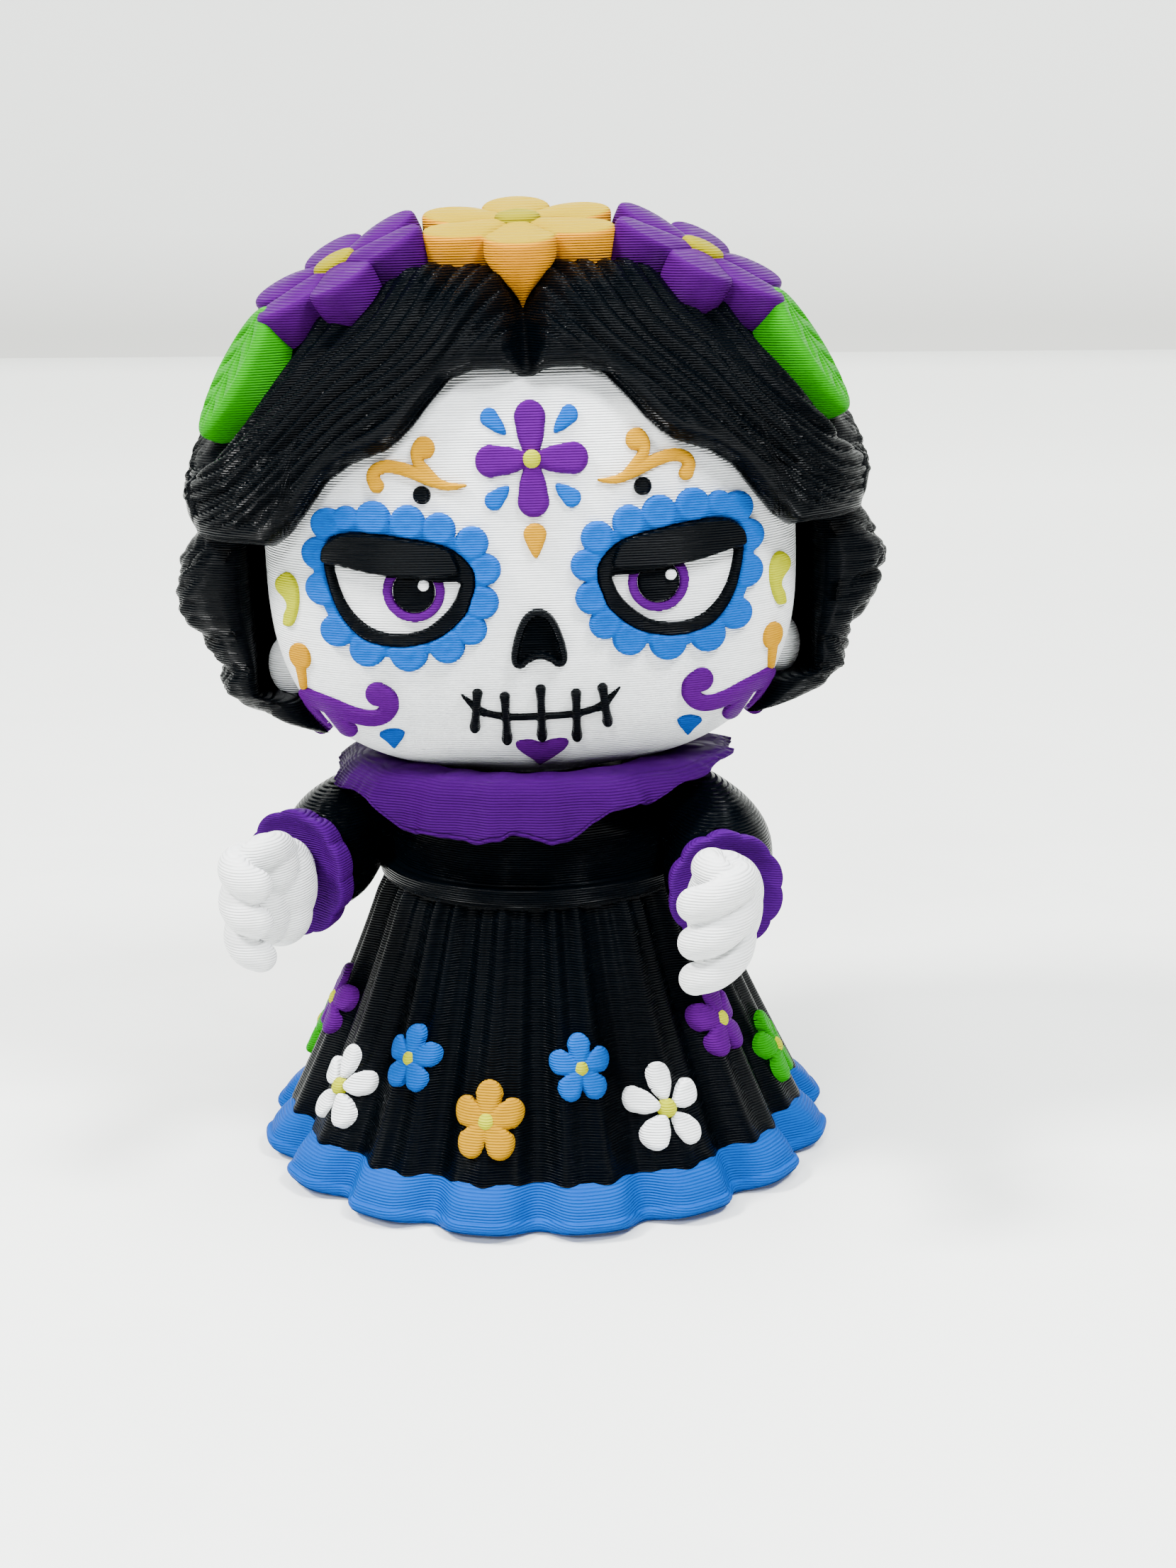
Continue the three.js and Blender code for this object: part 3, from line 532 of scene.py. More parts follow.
def raised(field, window, lift, surface, pitch, sink=-0.18):
    x0, x1, z0, z1 = window
    x, z = np.meshgrid(np.arange(x0, x1 + pitch, pitch), np.arange(z0, z1 + pitch, pitch), indexing="ij")
    d = field(x, z)
    gx, gz = np.gradient(d, pitch)
    steep = np.maximum(gx ** 2 + gz ** 2, 0.35)
    kept, edge = d > -0.8 * pitch, d < 0.5 * pitch
    x = np.where(edge, x - d * gx / steep, x)  # points near the outline move onto it
    z = np.where(edge, z - d * gz / steep, z)
    high = np.where(edge, sink, lift(x, z, np.where(edge, 0, d)))
    points = surface(x, z, high).reshape(-1, 3)
    faces = gridFaces(*kept.shape)
    faces = faces[kept.reshape(-1)[faces].all(1)]
    used, faces = np.unique(faces, return_inverse=True)
    return points[used], faces.reshape(-1, 4)


print("tools ready")

# head and the marks on it

skull = {
    "middle": 56.5, "halfWidth": 23.9, "front": 15.3, "back": 17, "above": 20.3, "below": 19.8,
    "power": 2.76, "chinDrop": 0.5, "chinWidth": 4.5, "rows": 120, "columns": 190,
    "ear": (22.3, -0.2, 46.6), "earRadii": (2.2, 2, 2.9),
}


def onSkull(x, z, lift):
    s = skull
    chin = s["chinDrop"] * bell(x, 0, s["chinWidth"])
    reach = np.where(z > s["middle"], s["above"], s["below"] + chin)
    across, up = x / s["halfWidth"], (z - s["middle"]) / reach
    rest = np.maximum(0.02, 1 - np.abs(across) ** s["power"] - np.abs(up) ** s["power"])
    inward = rest ** (1 / s["power"])
    outX, outZ = signed(across, s["power"] - 1) / s["halfWidth"], signed(up, s["power"] - 1) / reach
    out = unit(pointsAt(outX, -(inward ** (s["power"] - 1)) / s["front"], outZ))
    return pointsAt(x, -s["front"] * inward, z) + out * lift[..., None]


def skullSide(side):
    return lambda x, z, lift: onSkull(side * x, z, lift)


def makeHead():
    s = skull
    t, u = footToTop(s["rows"]), around(s["columns"])
    x, y, z = roundedBlock(s, t, u)
    low = np.maximum(0, -signed(np.sin(t), 2 / s["power"]))
    z = z - s["chinDrop"] * bell(x, 0, s["chinWidth"]) * low ** 2
    cx, cy, cz = s["ear"]
    ears = [ball((side * cx, cy, cz), s["earRadii"]) for side, _ in bothSides]
    addPiece("skullHead", "head", "white", [closedSkin(pointsAt(x, y, z))] + ears, onHead=True)


marks = {
    # name: node, plastic, step of its grid, its height, edge and foot, the window that it is drawn in
    "noseHollow": ("nose", "black", 0.08, None, (-3, 3, 47.8, 54)),
    "stitchedMouth": ("mouth", "black", 0.08, None, (-7.6, 7.6, 40.6, 47)),
    "chinHeart": ("chin_heart", "purple", 0.08, (0.3, 0.25), (-3, 3, 38, 42)),
    "foreheadPetals": ("forehead_flower", "purple", 0.1, (0.62, 0.6), (-5.2, 5.3, 60.8, 71.2)),
    "foreheadHeart": ("forehead_centre", "yellow", 0.08, (1.15, 0.8, 0.4)),
    "bridgeDrop": ("bridge_drop", "orange", 0.08, (0.5, 0.4), (-1.5, 1.6, 57.3, 61.3)),
    "eyeFrill": ("eye_surround", "blue", 0.11, None, (1.5, 20.5, 47, 64)),
    "eyeLid": ("eye_lid", "black", 0.1, None, (4, 19, 49.5, 61.5)),
    "irisRing": ("iris", "purple", 0.1, (0.42, 0.3), (7.2, 13.6, 52, 58.6)),
    "eyeLight": (None, "white", 0.07, (0.72, 0.4, 0.3)),
    "upperDrop": ("upper_drop", "blue", 0.07, (0.45, 0.35)),
    "lowerDrop": ("lower_drop", "blue", 0.07, (0.45, 0.35)),
    "browScroll": ("brow_scroll", "orange", 0.09, (0.55, 0.42), (4.8, 14.6, 63, 68.8)),
    "browDot": ("brow_dot", "black", 0.08, (0.55, 0.5)),
    "templeComma": ("temple_paisley", "yellow", 0.08, (0.4, 0.35), (19.5, 23.4, 51, 57.4)),
    "templeMark": ("temple_mark", "orange", 0.08, (0.35, 0.3), (19.2, 22.4, 45, 51)),
    "cheekScroll": ("cheek_scroll", "purple", 0.09, (0.42, 0.4), (11.8, 22, 40, 48)),
    "cheekDrop": ("cheek_drop", "blue", 0.08, (0.3, 0.25), (11.2, 15, 39.8, 43.5)),
}
skyMarks = ("eyeFrill", "upperDrop", "lowerDrop")  # these are in the paler blue


def addMark(name, shape, side=0, window=None, lift=None, also=()):
    node, slot, step, puff, *drawnIn = marks[name]
    skin = raised(shape, window or drawnIn[0], lift or puffed(*puff), skullSide(side or 1), step)
    finish = "skyBlue" if name in skyMarks else None
    addPiece(name, node, slot, [skin, *also], dict(bothSides).get(side), True, headPose["pivot"], finish)


eye = {
    "outline": [
        (17.2, 59.9), (14.6, 60.4), (10.5, 59.85), (7.2, 59), (5.3, 57.2), (5.15, 55.6), (5.5, 54.5),
        (6, 53.3), (7.4, 51.9), (9, 51), (11.4, 50.5), (13.5, 50.7), (15.2, 51.4), (16.6, 53), (17.4, 54.9),
        (17.9, 57.8),
    ],
    "opening": [
        (16.95, 57.6), (15, 57.15), (13, 56.75), (10.5, 56.35), (8, 56.05), (6.5, 55.95), (6.6, 55.3),
        (7, 54.4), (7.8, 53.4), (9, 52.4), (10, 51.9), (11.5, 51.65), (13, 51.75), (14.4, 52.3),
        (15.6, 53.4), (16.4, 54.7), (16.9, 56.3),
    ],
    "lid": [
        (17.9, 59), (16.6, 60.1), (15, 60.4), (11, 59.95), (7.6, 59.2), (6.7, 58.2), (6.5, 56.75),
        (9, 56.5), (13, 56.7), (15, 57.1), (17.95, 57.85),
    ],
    "lobes": [
        (5.3, 59.3, 1.45), (4.3, 57, 1.4), (4.7, 54.2, 1.5), (5.7, 51.9, 1.4), (7.8, 50.5, 1.55),
        (11.1, 50, 1.7), (14.6, 50.3, 1.6), (17.1, 51.9, 1.5), (18.1, 55.5, 1.55), (18.3, 58.5, 1.5),
        (17.4, 61, 1.45), (15.8, 61.5, 1.15), (13.5, 61.5, 1.55), (10.6, 61.1, 1.55), (8, 60.5, 1.45),
    ],
    "iris": (10.4, 55.3), "irisRadius": 2.62, "pupilRadius": 1.84,
    "lights": {-1: (9.5, 55.85), 1: (11.4, 55.85)}, "lightRadius": 0.52,
}


def makeEye(side):
    e = eye
    rim, opening, lid = outlined(e["outline"]), outlined(e["opening"], 110), outlined(e["lid"])
    lobes = together(*[disc(*lobe) for lobe in e["lobes"]])

    def frill(x, z):  # the lobes, and a band that fills the gaps between them and the rim
        out = -rim(x, z)
        return np.minimum(np.maximum(lobes(x, z), 1.0 - out), out + 0.12)

    def frillLift(x, z, d):
        puff = ramp(lobes(x, z), -0.1, 0.42)
        scoop = bell(lobes(x, z), 1.05, 0.42) * 0.1
        return 0.05 + rounded(np.minimum(d, 9), 0.3) * (0.36 + 0.26 * puff - scoop)

    def ring(x, z):
        return np.minimum(rim(x, z), 0.05 - opening(x, z))

    def ringLift(x, z, d):  # the lid stands higher than the line round the eye
        return 0.05 + 0.5 * rounded(d, 0.35) + 0.55 * ramp(lid(x, z), -0.05, 0.3)

    def seen(shape, slack):  # what the opening shows of a shape
        return lambda x, z: np.minimum(shape(x, z), opening(x, z) + slack)

    cx, cz = e["iris"]
    inner, half = e["pupilRadius"], (e["irisRadius"] - e["pupilRadius"]) / 2
    band = lambda x, z: half + 0.04 - np.abs(np.hypot(x - cx, z - cz) - inner - half)
    pupil = raised(seen(disc(cx, cz, inner), 0.1), (8, 13, 53, 58), puffed(0.36, 0.25), skullSide(side), 0.1)
    light = e["lights"][side]
    addMark("eyeFrill", frill, side, lift=frillLift)
    addMark("eyeLid", ring, side, lift=ringLift, also=[pupil])
    addMark("irisRing", seen(band, 0.05), side)
    addMark("eyeLight", disc(*light, e["lightRadius"]), side, framed([light], 1))


nose = {
    "half": [
        (0, 53.5), (0.6, 53.35), (1.2, 52.9), (1.7, 52.1), (2.1, 51), (2.35, 50), (2.45, 49.2), (2.3, 48.6),
        (1.8, 48.3), (1.3, 48.4), (1, 48.7), (0.5, 48.95), (0, 49.1),
    ],
    "floor": 0.12, "wall": 0.62,
}
chinHeart = [
    (0, 41.05), (0.8, 41.3), (1.7, 41.4), (2.35, 41.1), (2.1, 40.4), (1.2, 39.6), (0.2, 38.85), (-0.3, 38.6),
    (-0.9, 39.3), (-1.7, 40), (-2.35, 40.8), (-2.1, 41.3), (-1.2, 41.4), (-0.6, 41.25),
]
mouth = {
    "line": [(-5.1, 44.35), (-3, 43.85), (0, 43.75), (3, 43.85), (5.1, 44.35)], "halfLine": 0.3,
    "whisker": [(4.9, 44.3), (5.6, 44.75), (6.2, 45.4), (6.85, 46.1)],
    "whiskerWidths": [0.36, 0.34, 0.26, 0.08],
    "stitches": [
        [(-5.45, 46.1), (-5.8, 42.95)], [(-3.1, 45.7), (-3.05, 41.65)], [(0, 46.25), (0, 41.85)],
        [(3.05, 45.7), (3.05, 41.65)], [(5.35, 46.1), (5.75, 42.95)],
    ],
    "halfStitch": 0.5, "stitchShape": [1, 0.8, 0.76, 0.8, 1.04],
}
forehead = {
    "centre": (0.05, 66), "heart": 0.82, "reach": (0.7, 2, 4.8 - 1.38), "widths": [0.66, 1.16, 1.38],
    "bridge": [(0.05, 57.95), (0.05, 58.9), (0.05, 59.75)], "bridgeWidths": [0.2, 0.68, 1.02],
    "drops": {  # middle, radius, tip
        "upperDrop": ((3.35, 69.5), 0.8, (2.05, 68.15)), "lowerDrop": ((3.25, 62.75), 0.84, (2, 63.85)),
    },
}
brow = {
    "main": [
        (5.6, 64.1), (7, 64.05), (8.5, 64.6), (10, 65.3), (11.3, 65.72), (12.35, 65.8), (13.1, 65.45),
        (13.3, 64.85), (13.05, 64.25),
    ],
    "mainWidths": [0.14, 0.38, 0.54, 0.58, 0.57, 0.56, 0.56, 0.58, 0.66],
    "branch": [(8.1, 64.6), (8.9, 65.4), (9.45, 66.1), (9.45, 66.9), (8.95, 67.25)],
    "branchWidths": [0.42, 0.5, 0.52, 0.62, 0.98],
    "dot": (9.3, 63.4), "dotRadius": 0.8,
}
temple = {
    "comma": [
        (21.5, 56.6), (22.4, 55.8), (22.45, 54.9), (21.75, 54.2), (21.55, 53.6), (21.9, 52.8), (22, 51.8),
        (21.2, 51.9), (20.55, 53.4), (20.35, 55), (20.7, 56.2),
    ],
    "blob": (20.75, 49.1, 1, 1.3), "tail": [(20.8, 48.4), (20.75, 47.2), (20.75, 46.1)],
    "tailWidths": [0.5, 0.42, 0.35],
}
cheek = {
    "hook": [
        (20.4, 45.1), (18.4, 44.65), (16.4, 44), (14.9, 43.75), (13.8, 44.05), (13.15, 44.9), (13.3, 45.8),
        (14, 46.15),
    ],
    "hookWidths": [0.95, 0.9, 0.82, 0.8, 0.8, 0.86, 1, 1.15],
    "petals": [[(18.7, 44.4), (17.8, 43.3), (17.1, 42.35)], [(20.6, 45), (20.2, 43.3), (19.6, 41.8)]],
    "petalWidths": [0.5, 0.75, 0.98],
    "drop": [
        (12, 42.5), (12.8, 42.8), (13.8, 42.55), (14.25, 42.05), (13.6, 41.3), (13, 40.55), (12.5, 41.2),
        (12.05, 41.9),
    ],
}


def makeMiddleMarks():
    half = nose["half"]
    whole = outlined(half + [(-x, z) for x, z in half[-2:0:-1]])

    def noseLift(x, z, d):
        hollow = nose["floor"] + 0.1 * ramp(-z, -51.5, -49)
        wall = 1 - ramp(d, 0.5, 0.72)
        return hollow * (1 - wall) + wall * (0.05 + nose["wall"] * rounded(d, 0.3))

    m = mouth
    widths = [m["halfStitch"] * k for k in m["stitchShape"]]
    stitches = [stroke(ends, widths, 8) for ends in m["stitches"]]
    whiskers = []
    for side, _ in bothSides:
        whiskers.append(stroke([(side * x, z) for x, z in m["whisker"]], m["whiskerWidths"], 12))
    bars = together(*[stroke(ends, [0.4, 0.4], 6) for ends in m["stitches"]])

    def stitchLift(x, z, d):
        return 0.05 + 0.32 * rounded(d, 0.2) + 0.34 * ramp(bars(x, z), -0.15, 0.25)

    lips = together(stroke(m["line"], [m["halfLine"]] * 2), *whiskers, *stitches)
    f = forehead
    cx, cz = f["centre"]
    petals = []
    for ax, az in ((1, 0), (-1, 0), (0, 1), (0, -1)):
        petals.append(stroke([(cx + ax * t, cz + az * t) for t in f["reach"]], f["widths"], 10))
    addMark("noseHollow", whole, lift=noseLift)
    addMark("stitchedMouth", lips, lift=stitchLift)
    addMark("chinHeart", outlined(chinHeart))
    addMark("foreheadPetals", together(*petals))
    addMark("foreheadHeart", disc(cx, cz, f["heart"]), window=framed([f["centre"]], 1.2))
    addMark("bridgeDrop", stroke(f["bridge"], f["bridgeWidths"], 14))


def makeSideMarks(side):
    b, t, c = brow, temple, cheek
    for name, (middle, radius, tip) in forehead["drops"].items():
        addMark(name, drop(middle, radius, tip), side, framed([middle, tip], 1))
    branch = stroke(b["branch"], b["branchWidths"], 24)
    addMark("browScroll", together(stroke(b["main"], b["mainWidths"], 40), branch), side)
    addMark("browDot", disc(*b["dot"], b["dotRadius"]), side, framed([b["dot"]], 1))
    addMark("templeComma", outlined(t["comma"]), side)
    addMark("templeMark", together(oval(*t["blob"]), stroke(t["tail"], t["tailWidths"], 8)), side)
    petals = [stroke(line, c["petalWidths"], 10) for line in c["petals"]]
    addMark("cheekScroll", together(stroke(c["hook"], c["hookWidths"], 40), *petals), side)
    addMark("cheekDrop", outlined(c["drop"]), side)


def makeFace():
    makeHead()
    makeMiddleMarks()
    for side, _ in bothSides:
        makeEye(side)
        makeSideMarks(side)
    print("face marked")


# hair: a cap of combed locks with a smooth rolled rim, and a curled bob hanging below it

cap = {
    "middle": 60, "halfWidth": 30.8, "front": 18.4, "back": 22, "above": 21.6, "below": 3, "power": 2.15,
    "edge": [  # how low the cap comes, seen from the front
        (0, 73.3), (4.5, 73.3), (6.5, 72.6), (8.2, 70.8), (9.7, 69), (11, 67.8), (12, 67.1), (15, 66),
        (17.2, 64.5), (19, 62.1), (20.7, 60), (22.3, 58.7), (23.6, 57.8), (25, 57.4), (26.6, 58.1),
        (28.5, 59), (31, 60), (40, 60),
    ],
    "backEdge": 58.6, "rows": 150, "columns": 340, "trialRows": 700, "lowest": -0.35,
    "roll": 2.3, "under": 1.5, "tuck": (0.6, 1.4, 2.4),  # the rim
    "mound": 2, "partDepth": 2.3, "partWidth": 1.1, "sunk": 0.85,
    "lock": (4.9, 0.66), "strand": (1.3, 0.5), "thread": (0.62, 0.07),  # pitch, depth
    "sweep": [  # the way that the strands fall
        (0, 76.6), (4, 73.8), (8, 70.7), (12, 67.7), (16, 64.9), (20, 61.6), (26, 57.4), (32, 54.6),
    ],
    "leafBed": (7.6, 5.2),  # half the size of the dip that a leaf lies in
}


def capOut(p):
    c = cap
    depth = np.where(p[..., 1] < 0, c["front"], c["back"])
    reach = np.where(p[..., 2] < c["middle"], c["below"] * 4, c["above"])
    scale = pointsAt(c["halfWidth"], depth, reach)
    return unit(signed((p - np.array([0, 0, c["middle"]])) / scale, c["power"] - 1) / scale)


def capSheet():  # the plain cap, its rows bunched towards its rim
    c = cap
    share = np.linspace(-1, 1, c["columns"], endpoint=False)
    u = (np.pi * (0.66 * share + 0.34 * share ** 3))[None, :]
    fine = steps(np.pi / 2, c["lowest"], c["trialRows"])
    x, y, z = roundedBlock(c, fine, u)
    frontEdge = readOff(c["edge"], np.abs(x))
    edge = between(c["backEdge"] + 0.5 * np.cos(7 * u), frontEdge, ramp(-y, -5, 1))
    below = z < edge
    stop = np.where(below.any(0), below.argmax(0), c["trialRows"] - 1)
    t = np.pi / 2 + (fine[stop, 0][None, :] - np.pi / 2) * steps(0.012, 1, c["rows"]) ** 0.9
    return pointsAt(*roundedBlock(c, t, u)), u


def toRim(p):  # how far each point is from the rim
    tree = KDTree(p.shape[1])
    for i, q in enumerate(p[-1]):
        tree.insert(q, i)
    tree.balance()
    return np.array([tree.find(q)[2] for q in p.reshape(-1, 3)]).reshape(p.shape[:2])


def makeCap():
    c = cap
    p, u = capSheet()
    out, rim, near = capOut(p), p[-1], toRim(p)
    x, y, z = p[..., 0], p[..., 1], p[..., 2]
    ax = np.abs(x)
    # how far across the locks a point lies: measured up from the sweep in front, round the head behind
    inFront = (z - readOff(c["sweep"], ax)) / between(1, 0.78, ramp(ax, 14, 30))
    lane = between(34 * np.abs(u) + 0 * z, inFront, ramp(-y, -7, 2))
    drift = wander(p, 24, 4)
    combed = 0
    wobbles = (0.22 * drift, 0.35 * wander(p, 15, 7) + 0.5 * drift, 0.5 * wander(p, 13, 9))
    for (pitch, depth), wobble in zip((c["lock"], c["strand"], c["thread"]), wobbles):
        combed = combed + ridge(lane / pitch + wobble) * depth
    offRim = ramp(near, c["roll"] * 0.8, c["roll"] * 1.25)
    parting = bell(x, 0, c["partWidth"]) * ramp(-y, 2, 8)
    mound = c["mound"] * bell(ax, 7.5, 6) * bell(z, 79.5, 4) * ramp(-y, 1, 7) * offRim
    lift = (combed - c["sunk"]) * offRim * (1 - 0.7 * parting) + mound - c["partDepth"] * parting
    # in front the rim rolls straight back onto the skin, elsewhere it rolls under
    rx = np.minimum(np.abs(rim[:, 0]), 23.2)
    back = onSkull(rx, rim[:, 2], 0 * rx)[:, 1] - rim[:, 1] + 0.5
    front = (1 - ramp(np.abs(rim[:, 0]), 23.5, 26)) * ramp(-rim[:, 1], 0, 4)
    # the hair sinks under the leaves
    local = (pointsAt(ax, y, z) - np.array(leaf["at"])) @ tilted(leaf["tilt"])
    wide, long = c["leafBed"]
    under = ramp(1.4 - np.hypot(local[..., 0] / wide, local[..., 1] / long), 0, 0.4) * ramp(z, 60, 64)
    lift = lift - under * np.maximum(0, local[..., 2] + lift + between(1.8, 3.8, ramp(-local[..., 1], -1, 4)))
    rolled = 1 - rounded(near, c["roll"])
    skin = p + out * (lift - (1 - front) * c["under"] * rolled)[..., None]
    skin[..., 1] += front * np.clip(back, 2, 9) * rolled
    inward = np.array([0, 1, 0]) * front[:, None] - out[-1] * (1 - front)[:, None]
    inner = [skin[-1] + inward * d for d in c["tuck"]]
    return closedSkin(np.concatenate([skin, np.array(inner)], 0))


bob = {
    "widths": [  # height, half width
        (41.2, 20.8), (41.8, 23.2), (42.6, 25.3), (43.6, 27), (44.8, 28.2), (46, 28.7), (47.2, 28.6),
        (48.2, 28.9), (49.4, 29.9), (51, 31.1), (52.5, 31.8), (54, 32.1), (55.5, 32), (57, 31.4),
        (58.4, 30.2), (59.6, 29.6), (61, 29), (64, 27.5),
    ],
    "top": 64, "low": 41.2, "halfWidth": 28.5, "back": 22.3, "front": 15.5, "rows": 92, "columns": 240,
    "start": 73, "nose": 6,  # degrees from the front, and how round its ends are
    "locks": 11, "lockDepth": 0.7, "strandDepth": 0.26, "threadDepth": 0.08,
    "curlPitch": 4.6, "curlDepth": 1, "finePitch": 1.25, "fineDepth": 0.3, "curlAt": (2, 9),
}


def makeBob():
    b, s = bob, skull
    z = steps(b["top"], b["low"], b["rows"])
    u = np.radians(np.linspace(b["start"], 360 - b["start"], b["columns"]))[None, :]
    width = readOff(b["widths"], z) - 0.35
    depth = np.where(np.cos(u) > 0, b["front"] + 0 * z, b["back"] * width / b["halfWidth"])
    wayX, wayY = signed(np.sin(u), 0.85), -signed(np.cos(u), 0.85)
    outer = pointsAt(width * wayX, depth * wayY, z)
    # its inside lies on the skull, and it hangs on below the ears
    level = np.clip((z - s["middle"]) / s["below"], -0.97, 0.5)
    belly = np.clip(1 - np.abs(level) ** s["power"], 0.1, 1) ** (1 / s["power"])
    reachX = np.maximum(s["halfWidth"] * belly + 0.3, 25.4 * ramp(z, 41, 45))
    inner = pointsAt(reachX * wayX, (s["back"] * belly + 0.3) * wayY, z)
    middle, half = (outer + inner) / 2, (outer - inner) / 2
    fromEnd = np.minimum(u - u[0, 0], u[0, -1] - u) * 28
    tip = rounded(fromEnd, b["nose"])
    drift = wander(outer, 14, 21)
    lane = b["locks"] * u / np.pi + (1.1 * np.sin(z * 0.52 + 1.7 * np.sin(2 * u)) + 0.5 * drift) * 0.55
    locks = (ridge(lane) - 0.6) * b["lockDepth"]
    strands = (ridge(lane * 3.3 + 0.6 * drift) - 0.5) * b["strandDepth"]
    strands = strands + (ridge(lane * 8) - 0.5) * b["threadDepth"]
    curl = (ridge(z / b["curlPitch"] + 0.5 * drift + 0.04 * fromEnd) - 0.6) * b["curlDepth"]
    fine = (ridge(z / b["finePitch"] + 0.8 * drift + 0.05 * fromEnd) - 0.5) * b["fineDepth"]
    nearEnd = bell(fromEnd, *b["curlAt"])
    push = (locks + strands) * ramp(tip, 0.2, 0.9) + (curl * nearEnd + fine * nearEnd)
    outward = half / np.maximum(np.linalg.norm(half, axis=-1), 0.2)[..., None]
    lowTaper = rounded(z - b["low"], 2.6)
    fat = tip * (0.25 + 0.75 * lowTaper)
    hang = (1 - lowTaper) * 0.9 * (ridge(lane) - 0.7)
    front = middle + half * fat[..., None] + outward * push[..., None]
    rear = middle - half * fat[..., None]
    front[..., 2] -= hang
    rear[..., 2] -= hang
    rings = np.concatenate([front, rear[:, ::-1]], 1)
    columns = rings.shape[1]
    faces = [gridFaces(b["rows"], columns, True)]
    for row in (0, b["rows"] - 1):  # strips that close its top and its foot
        i = np.arange(b["columns"] - 1)
        strip = np.stack([i, i + 1, columns - 2 - i, columns - 1 - i], -1) + row * columns
        faces.append(strip if row == 0 else strip[:, ::-1])
    return rings.reshape(-1, 3), np.vstack(faces)


def makeHair():
    addPiece("combedHair", "hair", "black", [makeCap(), makeBob()], onHead=True)
    print("hair combed")


# crown: thick flowers with tapering petals, and a leaf at each end

crown = {
    "top": {
        "at": (0, -0.6, 85.5), "tilt": (12, 0), "radius": 9.3, "deep": 6.4, "point": 0.97, "colour": "orange",
    },
    "side": {
        "at": (16.2, -0.8, 82.3), "tilt": (12, 27), "radius": 9, "deep": 5.4, "point": 0, "colour": "purple",
    },
    "notch": 0.66, "round": 0.42, "crease": 0.26, "dome": 0.22, "taper": 0.2, "centre": 2, "columns": 180,
}


def addCrownPiece(name, node, slot, finish, rings, spec, word, side=1):
    # tilted and set where it belongs, and mirrored on the left
    x, y, z = spec["at"]
    about, lean = spec["tilt"]
    points = np.concatenate(rings, 0) @ tilted((about, side * lean)).T + np.array((side * x, y, z))
    addPiece(name, node, slot, [closedSkin(points)], word, True, None, finish)


def plateShares(inner, outer):  # steps from the middle of a plate to its edge, finer at the edge
    return np.vstack([steps(0.02, 0.8, inner), steps(0.82, 1, outer)])


def makeCrownFlower(spec, word, side=1):
    c = crown
    t = around(c["columns"])
    petal = np.abs(np.sin(3 * t)) ** 0.8
    reach = spec["radius"] * between(c["notch"], 1, petal)
    share = plateShares(26, 20)
    r = reach * share
    # distance to the outline, for the rounded edge, and the soft creases between petals
    toEdge = reach * (1 - share) * between(0.75, 1, petal)
    crease = c["crease"] * (1 - np.abs(np.sin(3 * t)) ** 0.45) * ramp(share, 0.2, 0.75)
    edge = -c["round"] * (1 - rounded(toEdge, c["round"] * 1.3))
    top = pointsAt(r * np.cos(t), r * np.sin(t), edge - crease + c["dome"] * np.sin(np.pi * share) * petal)
    # each petal's wall tapers downwards, and the front one of the top flower comes to a point
    down = steps(0, 1, 26)[1:]
    deep = spec["deep"] * between(0.75, 1, petal)
    point = spec["point"] * (np.abs(t - 1.5 * np.pi) < np.pi / 6)
    angle = np.radians(60) * (np.floor(t / np.radians(60)) + 0.5)
    turn = angle + (t - angle) * (1 - point * ramp(down, 0.25, 1.05))
    rWall = reach * (1 - c["taper"] * down ** 2.4)
    zWall = -c["round"] - crease[-1] - (deep - c["round"]) * down
    wall = pointsAt(rWall * np.cos(turn), rWall * np.sin(turn), zWall)
    finish = f"crown{spec['colour'].title()}"
    addCrownPiece("crownFlower", "crown_flower", spec["colour"], finish, [top, wall], spec, word, side)
    u = around(56)
    share = steps(0.04, 1, 16)
    rim = c["centre"] * (1 + 0.03 * np.sin(5 * u))
    dome = pointsAt(rim * share * np.cos(u), rim * share * np.sin(u), 0.1 + 0.5 * rounded(1 - share, 0.6))
    foot = dome[-1:].copy()
    foot[..., 2] = -0.6
    addCrownPiece("crownCentre", "crown_centre", "yellow", "crownYellow", [dome, foot], spec, word, side)


leaf = {
    "length": 12.8, "width": 8.6, "deep": 4.1, "at": (25.8, -3.2, 73.7), "tilt": (17, 58), "round": 0.8,
    "veins": [-4.6, -2.2, 0.2, 2.6, 4.6], "veinDepth": 0.42, "veinLean": 0.85, "shrink": 0.12,
}


def makeLeaf(side, word):
    v = leaf
    t = around(200)
    share = plateShares(40, 16)
    narrow = 1 - 0.3 * np.maximum(0, np.cos(t)) ** 2
    x = v["length"] / 2 * np.cos(t) * share
    y = v["width"] / 2 * narrow * signed(np.sin(t), 0.9) * share
    toEdge = (1 - share) * 4.0
    groove = bell(y, 0, 0.22) * 0.4
    for at in v["veins"]:
        line = x - at - np.abs(y) * v["veinLean"]
        ends = ramp(np.abs(y), 0.6, 1.2) * ramp(-np.abs(y), -3.2, -2.5)
        groove = np.maximum(groove, bell(line, 0, 0.36) * ends)
    z = -v["round"] * (1 - rounded(toEdge, v["round"])) - v["veinDepth"] * groove * ramp(toEdge, 0.3, 1)
    down = steps(0, 1, 14)[1:]
    shrink = 1 - v["shrink"] * down ** 2
    wall = pointsAt(x[-1] * shrink, y[-1] * shrink, -v["round"] - (v["deep"] - v["round"]) * down)
    rings = [rows * (side, 1, 1) for rows in (pointsAt(x, y, z), wall)]
    addCrownPiece("veinedLeaf", "leaf", "green", "leafGreen", rings, v, word, side)


def makeCrown():
    makeCrownFlower(crown["top"], "top")
    for side, word in bothSides:
        makeCrownFlower(crown["side"], word, side)
    for side, word in bothSides:
        makeLeaf(side, word)
    print("crown set")


# dress: panelled skirt, belt, bodice and sleeves

